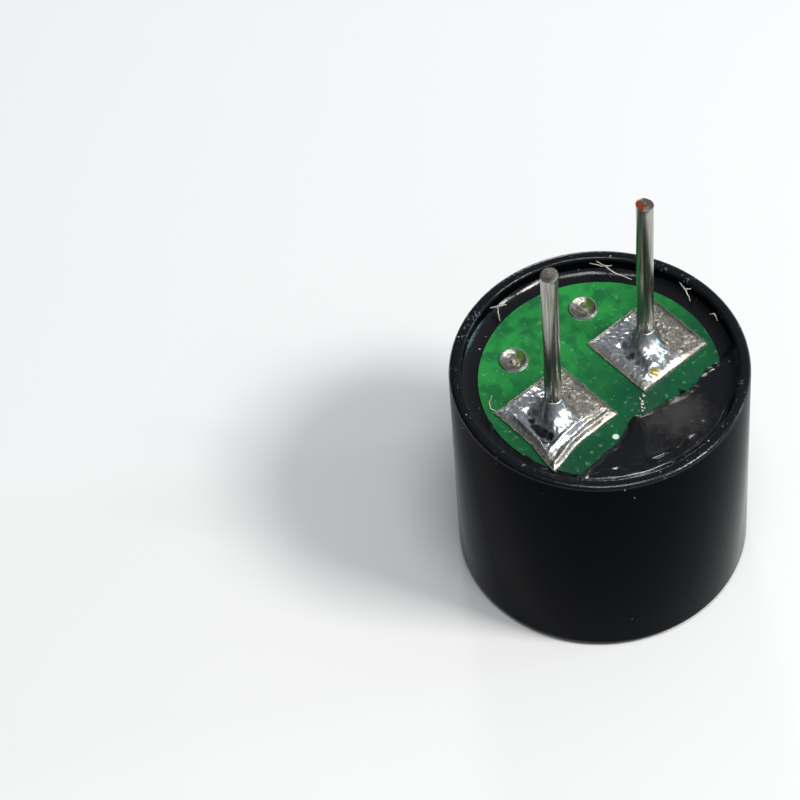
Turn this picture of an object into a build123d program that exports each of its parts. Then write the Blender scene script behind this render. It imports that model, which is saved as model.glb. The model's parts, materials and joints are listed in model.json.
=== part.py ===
from build123d import *
import math
import os

# Piezo buzzer: a round moulded can that stands on its sound face, with the circuit board and
# two wire pins upward. Millimetres. The origin is the centre of the sound face, +Z runs along
# the pins, and the pins stand side by side along X with the plus pin at +X.

# Can
can_diameter = 12.0
can_height = 11.0
face_thickness = 1.0
face_bevel = 0.35
wall = 1.0  # beside the board and the ribs
rim_thickness = 0.5  # at the mouth, outside the glue trough
rim_edge = 0.12  # bevel outside the mouth
trough_depth = 0.95  # rim to the floor of the glue trough
sound_hole_diameter = 2.4
front_chamber_depth = 1.2  # face to the diaphragm's ledge
rib_count = 6
rib_width = 0.9
rib_depth = 0.4
rib_start_angle = 30.0

# Polarity mark, a disc with an open plus, set flush in the sound face
mark_diameter = 2.1
mark_offset = 4.1  # centre of the face to the mark
mark_depth = 0.04
plus_length = 1.3
plus_width = 0.36

# Board, round with one side broken off its panel
board_thickness = 0.8
board_recess = 0.7  # rim to the outer face of the board
board_gap = 0.15  # board edge to the wall
break_offset = 2.5  # centre of the board to its broken side
break_left_slope = 4.5  # degrees
break_right_slope = 18.0  # degrees
notch_width = 1.0
notch_depth = 0.32
notch_shift = 0.4
copper = 0.07

# Pins and their pads
pin_pitch = 5.0
pin_diameter = 0.7
pin_root_width = 0.48  # the soldered length is squared, so that it holds while it is soldered
pin_reach = 8.0  # rim to the tip
pin_tail = 0.6  # inner face of the board to the pin's lower end
pin_shear_angle = 9.0  # slope of the sheared tip, in degrees
pin_hole_clearance = 0.15
pad_length = 3.5
pad_width = 3.3
pad_shift = -0.12  # pad centre from the pin row
pad_margin = 0.12  # least distance to the board's edge
solder_inset = 0.05
solder_layer = 0.16
solder_edge = 0.1  # bevel round the top of the layer
solder_cone_foot = 0.85
solder_cone_height = 0.44
solder_cone_neck = 0.06

# Inner leads and the plated holes that they end in
lead_hole_x = 1.9
lead_hole_diameter = 0.84
eyelet_wall = 0.05
eyelet_flange = 0.14
eyelet_flange_thickness = 0.06
lead_core_diameter = 0.24
lead_sleeve_diameter = 0.5
lead_end = 0.05  # wire end above its solder
lead_peak_height = 0.16
lead_stub = 1.2  # upright run below the board
sleeve_strip = 0.75  # bare wire at the element
sleeve_end_gap = 1.1  # end of the sleeve below the foot of the upright run
element_dot_diameter = 0.75
element_dot_height = 0.45

# Sound element
diaphragm_thickness = 0.1
diaphragm_gap = 0.1  # diaphragm edge to the ribs
seat_width = 0.6  # ledge under the diaphragm's edge
bond_rise = 0.1  # bead above the diaphragm
bond_lip = 0.3  # bead over the diaphragm's edge
bond_gap = 0.02  # bead to the ribs
ceramic_diameter = 5.8
ceramic_thickness = 0.12
electrode_margin = 0.2
electrode_thickness = 0.03
plus_dot_radius = 2.25  # centre of the disc to the dot on the silver film
plus_dot_angle = 57.0  # degrees

# Epoxy round the board and over the gap beside its broken side
ring_drop = 0.06  # epoxy ring below the board's outer face
ring_climb = 0.22
plug_rise = 0.18  # plug above the board's outer face
plug_climb = 0.26
plug_sag = 0.35
plug_inset = 0.2  # hanging part of the plug from its edge

# Chips on the inner face of the board
driver_y = -0.45
driver_length = 2.9
driver_width = 1.3
driver_height = 0.95
driver_standoff = 0.06
driver_draft = 7.0
leg_span = 2.4
leg_pitch = 1.9
leg_width = 0.4
leg_thickness = 0.12
leg_foot = 0.32
leg_root = 0.2
resistor_y = 2.05
capacitor_y = 3.35
chip_length = 1.6
chip_width = 0.8
resistor_height = 0.45
capacitor_height = 0.75
chip_end = 0.3
chip_plating = 0.04
inner_copper_thickness = 0.05
inner_pad = 0.7
inner_margin = 0.23  # square of copper round a pin hole
driver_pad_margin = 0.1
track_width = 0.22

# Radii that follow
can_radius = can_diameter / 2
mouth_radius = can_radius - rim_thickness
pocket_radius = can_radius - wall
rib_radius = pocket_radius - rib_depth
rib_length = rib_depth + wall / 2  # its root reaches half-way into the wall
board_radius = pocket_radius - board_gap
diaphragm_radius = rib_radius - diaphragm_gap
ledge_radius = diaphragm_radius - seat_width
pin_radius = pin_diameter / 2
pin_hole_radius = pin_radius + pin_hole_clearance
lead_hole_radius = lead_hole_diameter / 2
eyelet_bore_radius = lead_hole_radius - eyelet_wall
eyelet_flange_radius = lead_hole_radius + eyelet_flange
lead_core_radius = lead_core_diameter / 2
bond_radius = rib_radius - bond_gap
bare_brass_radius = (ceramic_diameter / 2 + diaphragm_radius - bond_lip) / 2
lead_hole_y = math.sqrt(bare_brass_radius**2 - lead_hole_x**2)  # over the bare brass

# Heights that follow
ledge_z = face_thickness + front_chamber_depth
board_top = can_height - board_recess
board_bottom = board_top - board_thickness
pad_top = board_top + copper
solder_top = pad_top + solder_layer
solder_neck = solder_top + solder_cone_height
pin_foot = board_bottom - pin_tail
trough_floor = can_height - trough_depth
diaphragm_top = ledge_z + diaphragm_thickness
ceramic_top = diaphragm_top + ceramic_thickness
electrode_top = ceramic_top + electrode_thickness
tip_z = can_height + pin_reach
ring_level = board_top - ring_drop
plug_level = board_top + plug_rise
inner_copper_z = board_bottom - inner_copper_thickness

os.makedirs("parts", exist_ok=True)


def save(piece, name):
    """Labels a finished piece and writes it as one STEP file."""
    piece.label = name
    export_step(piece, f"parts/{name}.step")


def upright_plane(x, y):
    """Plane through a vertical axis: its first direction is +X and its second is +Z."""
    return Plane(origin=(x, y, 0), x_dir=(1, 0, 0), z_dir=(0, -1, 0))


def upright_axis(x, y):
    """Vertical axis through a point of the board."""
    return Axis((x, y, 0), (0, 0, 1))


def broken_side():
    """Points of the board's broken side, from left to right, with the notch between two breaks."""
    left_x = notch_shift - notch_width / 2
    right_x = notch_shift + notch_width / 2
    reach = can_radius
    left_fall = (reach + left_x) * math.tan(math.radians(break_left_slope))
    right_fall = (reach - right_x) * math.tan(math.radians(break_right_slope))
    return [
        (-reach, -break_offset - left_fall),
        (left_x, -break_offset),
        (notch_shift, -break_offset + notch_depth),
        (right_x, -break_offset),
        (reach, -break_offset - right_fall),
    ]


with BuildSketch() as missing_side:
    with BuildLine():
        Polyline(*broken_side(), (can_radius, -can_diameter), (-can_radius, -can_diameter), close=True)
    make_face()

with BuildSketch() as board_outline:
    Circle(board_radius)
    add(missing_side.sketch, mode=Mode.SUBTRACT)

with BuildSketch() as mark_face:
    with Locations((mark_offset, 0)):
        Circle(mark_diameter / 2)
        Rectangle(plus_length, plus_width, mode=Mode.SUBTRACT)
        Rectangle(plus_width, plus_length, mode=Mode.SUBTRACT)


def air_section(level, climb):
    """Half-section of the space over the epoxy, whose edge climbs the can's wall."""
    with BuildSketch(Plane.XZ) as air:
        with BuildLine():
            Polyline(
                (0, level),
                (mouth_radius - climb, level),
                (mouth_radius, level + climb),
                (mouth_radius, tip_z),
                (0, tip_z),
                close=True,
            )
        make_face()
    return air.sketch


# Case: one moulded cup. The bore steps in from the mouth: glue trough, board pocket, ribs,
# diaphragm ledge, front chamber and sound hole.
with BuildPart() as case:
    with BuildSketch(Plane.XZ) as case_section:
        with BuildLine():
            Polyline(
                (sound_hole_diameter / 2, 0),
                (can_radius, 0),
                (can_radius, can_height),
                (mouth_radius, can_height),
                (mouth_radius, trough_floor),
                (pocket_radius, trough_floor),
                (pocket_radius, ledge_z),
                (ledge_radius, ledge_z),
                (ledge_radius, face_thickness),
                (sound_hole_diameter / 2, face_thickness),
                close=True,
            )
        make_face()
    revolve(axis=Axis.Z)
    rings = case.edges().filter_by(GeomType.CIRCLE)
    chamfer(rings.group_by(Axis.Z)[0].sort_by(SortBy.RADIUS)[-1], length=face_bevel)
    chamfer(rings.group_by(Axis.Z)[-1].sort_by(SortBy.RADIUS)[-1], length=rim_edge)
    # Ribs centre the diaphragm and carry the board
    with BuildSketch(Plane.XY.offset(ledge_z)) as ribs:
        with PolarLocations(rib_radius + rib_length / 2, rib_count, start_angle=rib_start_angle):
            Rectangle(rib_length, rib_width)
    extrude(amount=board_bottom - ledge_z)
    # Flush seat of the polarity mark
    add(mark_face.sketch)
    extrude(amount=mark_depth, mode=Mode.SUBTRACT)
save(case.part, "case")

with BuildPart() as polarity_mark:
    add(mark_face.sketch)
    extrude(amount=mark_depth)
save(polarity_mark.part, "polarity_mark")

# Sound element: silicone bead on the ledge, brass disc, ceramic disc and its silver film
with BuildPart() as diaphragm:
    with BuildSketch(Plane.XY.offset(ledge_z)):
        Circle(diaphragm_radius)
    extrude(amount=diaphragm_thickness)
save(diaphragm.part, "diaphragm")

with BuildPart() as bond_ring:
    with BuildSketch(Plane.XZ):
        with BuildLine():
            Polyline(
                (diaphragm_radius, ledge_z),
                (bond_radius, ledge_z),
                (bond_radius, diaphragm_top + bond_rise),
                (diaphragm_radius - bond_lip, diaphragm_top),
                (diaphragm_radius, diaphragm_top),
                close=True,
            )
        make_face()
    revolve(axis=Axis.Z)
save(bond_ring.part, "bond_ring")

with BuildPart() as ceramic_disc:
    with BuildSketch(Plane.XY.offset(diaphragm_top)):
        Circle(ceramic_diameter / 2)
    extrude(amount=ceramic_thickness)
save(ceramic_disc.part, "ceramic_disc")

with BuildPart() as electrode:
    with BuildSketch(Plane.XY.offset(ceramic_top)):
        Circle(ceramic_diameter / 2 - electrode_margin)
    extrude(amount=electrode_thickness)
save(electrode.part, "electrode")

# Board with its pin holes and lead holes
with BuildPart() as board:
    with BuildSketch(Plane.XY.offset(board_bottom)):
        add(board_outline.sketch)
        with Locations((pin_pitch / 2, 0), (-pin_pitch / 2, 0)):
            Circle(pin_hole_radius, mode=Mode.SUBTRACT)
        with Locations((lead_hole_x, lead_hole_y), (-lead_hole_x, lead_hole_y)):
            Circle(lead_hole_radius, mode=Mode.SUBTRACT)
    extrude(amount=board_thickness)
save(board.part, "board")


def pad_outline(pin_x, inset):
    """Pad sketch on its own, kept clear of the board's edge and drawn in by the inset."""
    with BuildSketch() as pad:
        with Locations((pin_x, pad_shift)):
            Rectangle(pad_length - 2 * inset, pad_width - 2 * inset)
        with BuildSketch(mode=Mode.INTERSECT):
            add(board_outline.sketch)
            offset(amount=-pad_margin - inset)
    return pad.sketch


def solder_cone_section(pin_x):
    """Half-section of the cone of solder that climbs a pin."""
    neck_radius = pin_radius + solder_cone_neck
    with BuildSketch(upright_plane(pin_x, 0)) as cone:
        with BuildLine():
            Polyline(
                (0, solder_neck),
                (neck_radius, solder_neck),
                (solder_cone_foot, solder_top),
                (solder_cone_foot, pad_top),
                (0, pad_top),
                close=True,
            )
        make_face()
    return cone.sketch


# Pads, pins and their solder, one of each per side
for name, side in (("plus", 1), ("minus", -1)):
    pin_x = side * pin_pitch / 2
    pad_face = pad_outline(pin_x, 0)
    solder_face = pad_outline(pin_x, solder_inset)
    cone_face = solder_cone_section(pin_x)

    with BuildPart() as pad:
        with BuildSketch(Plane.XY.offset(board_top)):
            add(pad_face)
            with Locations((pin_x, 0)):
                Circle(pin_hole_radius, mode=Mode.SUBTRACT)
        extrude(amount=copper)
    save(pad.part, f"pad_{name}")

    with BuildPart() as pin:
        with BuildSketch(Plane.XY.offset(pin_foot)):
            with Locations((pin_x, 0)):
                Rectangle(pin_root_width, pin_root_width)
        extrude(amount=solder_neck - pin_foot)
        with BuildSketch(Plane.XY.offset(solder_neck)):
            with Locations((pin_x, 0)):
                Circle(pin_radius)
        extrude(amount=tip_z - solder_neck)
        shear = math.radians(pin_shear_angle)
        split(
            bisect_by=Plane(
                origin=(pin_x, 0, tip_z - pin_radius * math.tan(shear)),
                z_dir=(side * math.sin(shear), 0, math.cos(shear)),
            ),
            keep=Keep.BOTTOM,
        )
    save(pin.part, f"pin_{name}")

    with BuildPart() as pin_solder:
        with BuildSketch(Plane.XY.offset(pad_top)):
            add(solder_face)
        extrude(amount=solder_layer)
        chamfer(pin_solder.faces().sort_by(Axis.Z)[-1].edges(), length=solder_edge)
        revolve(cone_face, axis=upright_axis(pin_x, 0))
        with BuildSketch(Plane.XY.offset(board_bottom)):
            with Locations((pin_x, 0)):
                Circle(pin_hole_radius)
        extrude(amount=pad_top - board_bottom)
        add(pin.part, mode=Mode.SUBTRACT)
    save(pin_solder.part, f"pin_solder_{name}")


def solder_peak_section(centre, radius, levels, height):
    """Half-section of a solder cone over a straight stem between two levels."""
    foot_z, peak_foot_z = levels
    stem = [(0, foot_z), (radius, foot_z)]
    if peak_foot_z > foot_z:
        stem.append((radius, peak_foot_z))
    with BuildSketch(upright_plane(*centre)) as peak:
        with BuildLine():
            Polyline(*stem, (0, peak_foot_z + height), close=True)
        make_face()
    return peak.sketch


def lead_tube(points, radius):
    """Round wire or sleeve along a route of straight runs, with an arc as large as its runs allow."""
    start = Vector(*points[0])
    first_run = Vector(*points[1]) - start
    with BuildPart() as tube:
        with BuildLine():
            if len(points) > 2:
                second_run = Vector(*points[2]) - Vector(*points[1])
                half_turn = math.radians(first_run.get_angle(second_run)) / 2
                shorter = min(first_run.length, second_run.length)
                FilletPolyline(*points, radius=0.45 * shorter / math.tan(half_turn))
            else:
                Polyline(*points)
        with BuildSketch(Plane(origin=start, z_dir=first_run)):
            Circle(radius)
        sweep()
    return tube.part


# Inner leads: the plus one leans from its dot on the silver film, the minus one stands on the brass
flange_top = board_top + eyelet_flange_thickness
lead_top = flange_top + lead_peak_height + lead_end
plus_dot_x = plus_dot_radius * math.cos(math.radians(plus_dot_angle))
plus_dot_y = plus_dot_radius * math.sin(math.radians(plus_dot_angle))
lead_routes = {
    "plus": [
        (plus_dot_x, plus_dot_y, electrode_top),
        (lead_hole_x, lead_hole_y, board_bottom - lead_stub),
        (lead_hole_x, lead_hole_y, lead_top),
    ],
    "minus": [(-lead_hole_x, lead_hole_y, diaphragm_top), (-lead_hole_x, lead_hole_y, lead_top)],
}
for name, route in lead_routes.items():
    dot_x, dot_y, dot_z = route[0]
    hole_x = route[-1][0]
    # The wire starts a little below its dot's foot and is cut level there
    lean = (Vector(*route[1]) - Vector(*route[0])).normalized()
    below = Vector(*route[0]) - lean * lead_core_diameter
    full_route = [tuple(below), *route[1:]]
    element_dot_face = solder_peak_section(
        (dot_x, dot_y), element_dot_diameter / 2, (dot_z, dot_z), element_dot_height
    )
    lead_solder_face = solder_peak_section(
        (hole_x, lead_hole_y), eyelet_bore_radius, (inner_copper_z, flange_top), lead_peak_height
    )
    core_tube = lead_tube(full_route, lead_core_radius)
    sleeve_tube = lead_tube(full_route, lead_sleeve_diameter / 2)

    with BuildPart() as lead_core:
        add(core_tube)
        split(bisect_by=Plane.XY.offset(dot_z), keep=Keep.TOP)
    save(lead_core.part, f"lead_core_{name}")

    with BuildPart() as lead_sleeve:
        add(sleeve_tube)
        split(bisect_by=Plane.XY.offset(dot_z + sleeve_strip), keep=Keep.TOP)
        split(bisect_by=Plane.XY.offset(board_bottom - lead_stub - sleeve_end_gap), keep=Keep.BOTTOM)
        add(lead_core.part, mode=Mode.SUBTRACT)
    save(lead_sleeve.part, f"lead_sleeve_{name}")

    with BuildPart() as element_solder:
        revolve(element_dot_face, axis=upright_axis(dot_x, dot_y))
        add(lead_core.part, mode=Mode.SUBTRACT)
    save(element_solder.part, f"element_solder_{name}")

    with BuildPart() as lead_eyelet:
        with BuildSketch(upright_plane(hole_x, lead_hole_y)):
            with BuildLine():
                Polyline(
                    (eyelet_bore_radius, inner_copper_z),
                    (lead_hole_radius, inner_copper_z),
                    (lead_hole_radius, board_top),
                    (eyelet_flange_radius, board_top),
                    (eyelet_flange_radius, flange_top),
                    (eyelet_bore_radius, flange_top),
                    close=True,
                )
            make_face()
        revolve(axis=upright_axis(hole_x, lead_hole_y))
    save(lead_eyelet.part, f"lead_eyelet_{name}")

    with BuildPart() as lead_solder:
        revolve(lead_solder_face, axis=upright_axis(hole_x, lead_hole_y))
        add(lead_core.part, mode=Mode.SUBTRACT)
    save(lead_solder.part, f"lead_solder_{name}")

# Potting: a ring in the glue trough and a plug that bridges the gap beside the broken side
ring_air = air_section(ring_level, ring_climb)
plug_air = air_section(plug_level, plug_climb)
with BuildPart() as potting:
    with BuildSketch(Plane.XY.offset(board_bottom)):
        Circle(pocket_radius)
        add(board_outline.sketch, mode=Mode.SUBTRACT)
    extrude(amount=trough_floor - board_bottom)
    with BuildSketch(Plane.XY.offset(trough_floor)):
        Circle(mouth_radius)
        add(board_outline.sketch, mode=Mode.SUBTRACT)
    extrude(amount=ring_level + ring_climb - trough_floor)
    revolve(ring_air, axis=Axis.Z, mode=Mode.SUBTRACT)
    with BuildSketch(Plane.XY.offset(ring_level)):
        Circle(mouth_radius)
        add(missing_side.sketch, mode=Mode.INTERSECT)
    extrude(amount=plug_level + plug_climb - ring_level)
    revolve(plug_air, axis=Axis.Z, mode=Mode.SUBTRACT)
    # The plug hangs a little below the board
    with BuildSketch(Plane.XY.offset(board_bottom)):
        Circle(rib_radius - plug_inset)
        with BuildSketch(mode=Mode.INTERSECT):
            add(missing_side.sketch)
            offset(amount=-plug_inset)
    extrude(amount=-plug_sag)
save(potting.part, "potting")

# Copper on the inner face of the board, seen from inside the can
driver_pads = [
    (-leg_span / 2, driver_y - leg_pitch / 2),
    (-leg_span / 2, driver_y + leg_pitch / 2),
    (leg_span / 2, driver_y),
]
chip_pad_x = chip_length / 2
inner_pin_pad = 2 * (pin_hole_radius + inner_margin)
with BuildPart() as inner_copper:
    with BuildSketch(Plane.XY.offset(inner_copper_z)):
        with Locations((pin_pitch / 2, 0), (-pin_pitch / 2, 0)):
            Rectangle(inner_pin_pad, inner_pin_pad)
        with Locations(*driver_pads):
            Rectangle(inner_pad, leg_width + 2 * driver_pad_margin)
        with Locations(*((x, y) for y in (resistor_y, capacitor_y) for x in (-chip_pad_x, chip_pad_x))):
            Rectangle(inner_pad, chip_width)
        with BuildLine():
            Line((pin_pitch / 2, 0), driver_pads[2])
            Line((-pin_pitch / 2, 0), driver_pads[0])
            Line(driver_pads[1], (-chip_pad_x, resistor_y))
            Line((chip_pad_x, resistor_y), (lead_hole_x, lead_hole_y))
            Line((chip_pad_x, capacitor_y), (lead_hole_x, lead_hole_y))
            Line((-chip_pad_x, capacitor_y), (-lead_hole_x, lead_hole_y))
        trace(line_width=track_width)
        with Locations((pin_pitch / 2, 0), (-pin_pitch / 2, 0)):
            Circle(pin_hole_radius, mode=Mode.SUBTRACT)
        with Locations((lead_hole_x, lead_hole_y), (-lead_hole_x, lead_hole_y)):
            Circle(lead_hole_radius, mode=Mode.SUBTRACT)
    extrude(amount=inner_copper_thickness)
save(inner_copper.part, "inner_copper")

# Driver: a moulded body with three gull-wing legs, feet up against the board
driver_top = inner_copper_z - driver_standoff
driver_middle = driver_top - driver_height / 2
foot_z = inner_copper_z - leg_thickness / 2
with BuildPart() as driver_legs:
    for leg_side, leg_y in ((-1, driver_y - leg_pitch / 2), (-1, driver_y + leg_pitch / 2), (1, driver_y)):
        root_x = driver_width / 2 - leg_root
        foot_end = leg_span / 2 + leg_thickness
        with BuildSketch(Plane(origin=(0, leg_y + leg_width / 2, 0), x_dir=(1, 0, 0), z_dir=(0, -1, 0))):
            with BuildLine():
                Polyline(
                    (leg_side * root_x, driver_middle),
                    (leg_side * (driver_width / 2 + leg_thickness), driver_middle),
                    (leg_side * (foot_end - leg_foot), foot_z),
                    (leg_side * foot_end, foot_z),
                )
            trace(line_width=leg_thickness)
        extrude(amount=leg_width)
save(driver_legs.part, "driver_legs")

with BuildPart() as driver_body:
    with BuildSketch(Plane.XY.offset(driver_middle)):
        with Locations((0, driver_y)):
            Rectangle(driver_width, driver_length)
    extrude(amount=driver_height / 2, taper=driver_draft, both=True)
    add(driver_legs.part, mode=Mode.SUBTRACT)
save(driver_body.part, "driver_body")

# Chip resistor and capacitor: a ceramic block with a plated cap over each end
for name, chip_y, chip_height in (
    ("resistor", resistor_y, resistor_height),
    ("capacitor", capacitor_y, capacitor_height),
):
    chip_top = inner_copper_z - chip_plating
    with BuildPart() as chip_body:
        with BuildSketch(Plane.XY.offset(chip_top)):
            with Locations((0, chip_y)):
                Rectangle(chip_length, chip_width)
        extrude(amount=-chip_height)
    save(chip_body.part, f"{name}_body")

    with BuildPart() as chip_ends:
        with BuildSketch(Plane.XY.offset(inner_copper_z)):
            with Locations((0, chip_y)):
                Rectangle(chip_length + 2 * chip_plating, chip_width + 2 * chip_plating)
                Rectangle(chip_length - 2 * chip_end, chip_width + 2 * chip_plating, mode=Mode.SUBTRACT)
        extrude(amount=-chip_height - 2 * chip_plating)
        add(chip_body.part, mode=Mode.SUBTRACT)
    save(chip_ends.part, f"{name}_ends")
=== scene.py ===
"""Looks of a two-pin piezo buzzer: a black moulded can that stands on its sound face, pins upward.

The part's own frame gives every place: +Z runs along the pins, the plus pin is at +X, and the
broken side of the circuit board faces -Y. Lengths in this file are millimetres until they meet a
mesh or a material, where MM turns them to metres.
"""
from __future__ import annotations

import json
import logging
import math
from dataclasses import dataclass, field
from enum import Enum
from typing import Any, Sequence

import bmesh
import bpy
from mathutils import Matrix, Vector, noise


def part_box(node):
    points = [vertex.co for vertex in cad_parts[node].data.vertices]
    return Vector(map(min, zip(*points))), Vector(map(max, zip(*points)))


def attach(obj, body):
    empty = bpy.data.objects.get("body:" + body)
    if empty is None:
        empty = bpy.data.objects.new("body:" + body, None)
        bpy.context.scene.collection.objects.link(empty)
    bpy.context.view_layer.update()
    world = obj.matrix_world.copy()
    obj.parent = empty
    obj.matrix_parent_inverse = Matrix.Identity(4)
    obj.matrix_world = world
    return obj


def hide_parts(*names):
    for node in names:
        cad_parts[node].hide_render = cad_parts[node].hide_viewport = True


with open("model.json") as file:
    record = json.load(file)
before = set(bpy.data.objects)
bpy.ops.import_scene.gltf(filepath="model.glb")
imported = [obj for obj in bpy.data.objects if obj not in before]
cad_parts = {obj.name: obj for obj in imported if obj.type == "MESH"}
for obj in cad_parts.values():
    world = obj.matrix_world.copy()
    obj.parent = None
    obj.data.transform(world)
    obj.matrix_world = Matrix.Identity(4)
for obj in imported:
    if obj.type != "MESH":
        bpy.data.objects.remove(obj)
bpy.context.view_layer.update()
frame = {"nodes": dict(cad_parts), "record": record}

MM = 0.001
LOG = logging.getLogger("buzzer")
Socket = bpy.types.NodeSocket
Point = tuple[float, float]
RING_REACH = 0.004


def linear(code: str) -> tuple[float, float, float, float]:
    """Turns an sRGB hex colour into Blender's linear colour.

    Args:
        code: Six hex digits after a hash mark, such as "#2F9A52".

    Returns:
        Linear red, green and blue, and an alpha of 1.
    """
    channels = [int(code[i:i + 2], 16) / 255 for i in (1, 3, 5)]
    red, green, blue = (c / 12.92 if c <= 0.04045 else ((c + 0.055) / 1.055) ** 2.4 for c in channels)
    return (red, green, blue, 1.0)


def grain(size: float) -> float:
    """Gives the texture scale at which one feature of a pattern is this many millimetres."""
    return 1 / (size * MM)


def smooth(low: float, high: float, value: float) -> float:
    """Rises smoothly from 0 at low to 1 at high."""
    share = min(max((value - low) / (high - low), 0.0), 1.0)
    return share * share * (3 - 2 * share)


def ripple(x: float, y: float, size: float, seed: float = 0.0) -> float:
    """Gives smooth noise between about -1 and 1 whose features are this many millimetres."""
    return noise.noise(Vector((x / size, y / size, seed)))


@dataclass(frozen=True)
class Wave:
    """Unevenness of a surface: its height, the width of one feature, and a seed."""

    height: float
    size: float
    seed: float = 0.0

    def at(self, x: float, y: float, seed: float = 0.0) -> float:
        """Gives the height at a place, where a piece can add a seed of its own."""
        return self.height * ripple(x, y, self.size, seed + self.seed)


def total(waves: Sequence[Wave], x: float, y: float, seed: float = 0.0) -> float:
    """Adds up several waves at a place."""
    return sum(wave.at(x, y, seed) for wave in waves)


# Materials

def add_node(
    tree: bpy.types.NodeTree,
    kind: str,
    settings: dict[str | int, Any] | None = None,
    links: dict[str | int, Socket] | None = None,
) -> bpy.types.Node:
    """Adds one shader node with its settings and links.

    Args:
        tree: The material's node tree.
        kind: The node type without its "ShaderNode" prefix.
        settings: Properties by name, or unlinked inputs by name or number.
        links: Inputs by name or number, each with the output that feeds it.

    Returns:
        The new node.
    """
    node = tree.nodes.new("ShaderNode" + kind)
    for key, value in (settings or {}).items():
        if isinstance(key, str) and key in node.bl_rna.properties:
            setattr(node, key, value)
        else:
            node.inputs[key].default_value = value
    for key, output in (links or {}).items():
        tree.links.new(output, node.inputs[key])
    return node


class Mixing(Enum):
    """How two values meet in a pattern."""

    MULTIPLY = "MULTIPLY"
    ADD = "ADD"
    MAXIMUM = "MAXIMUM"


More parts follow.
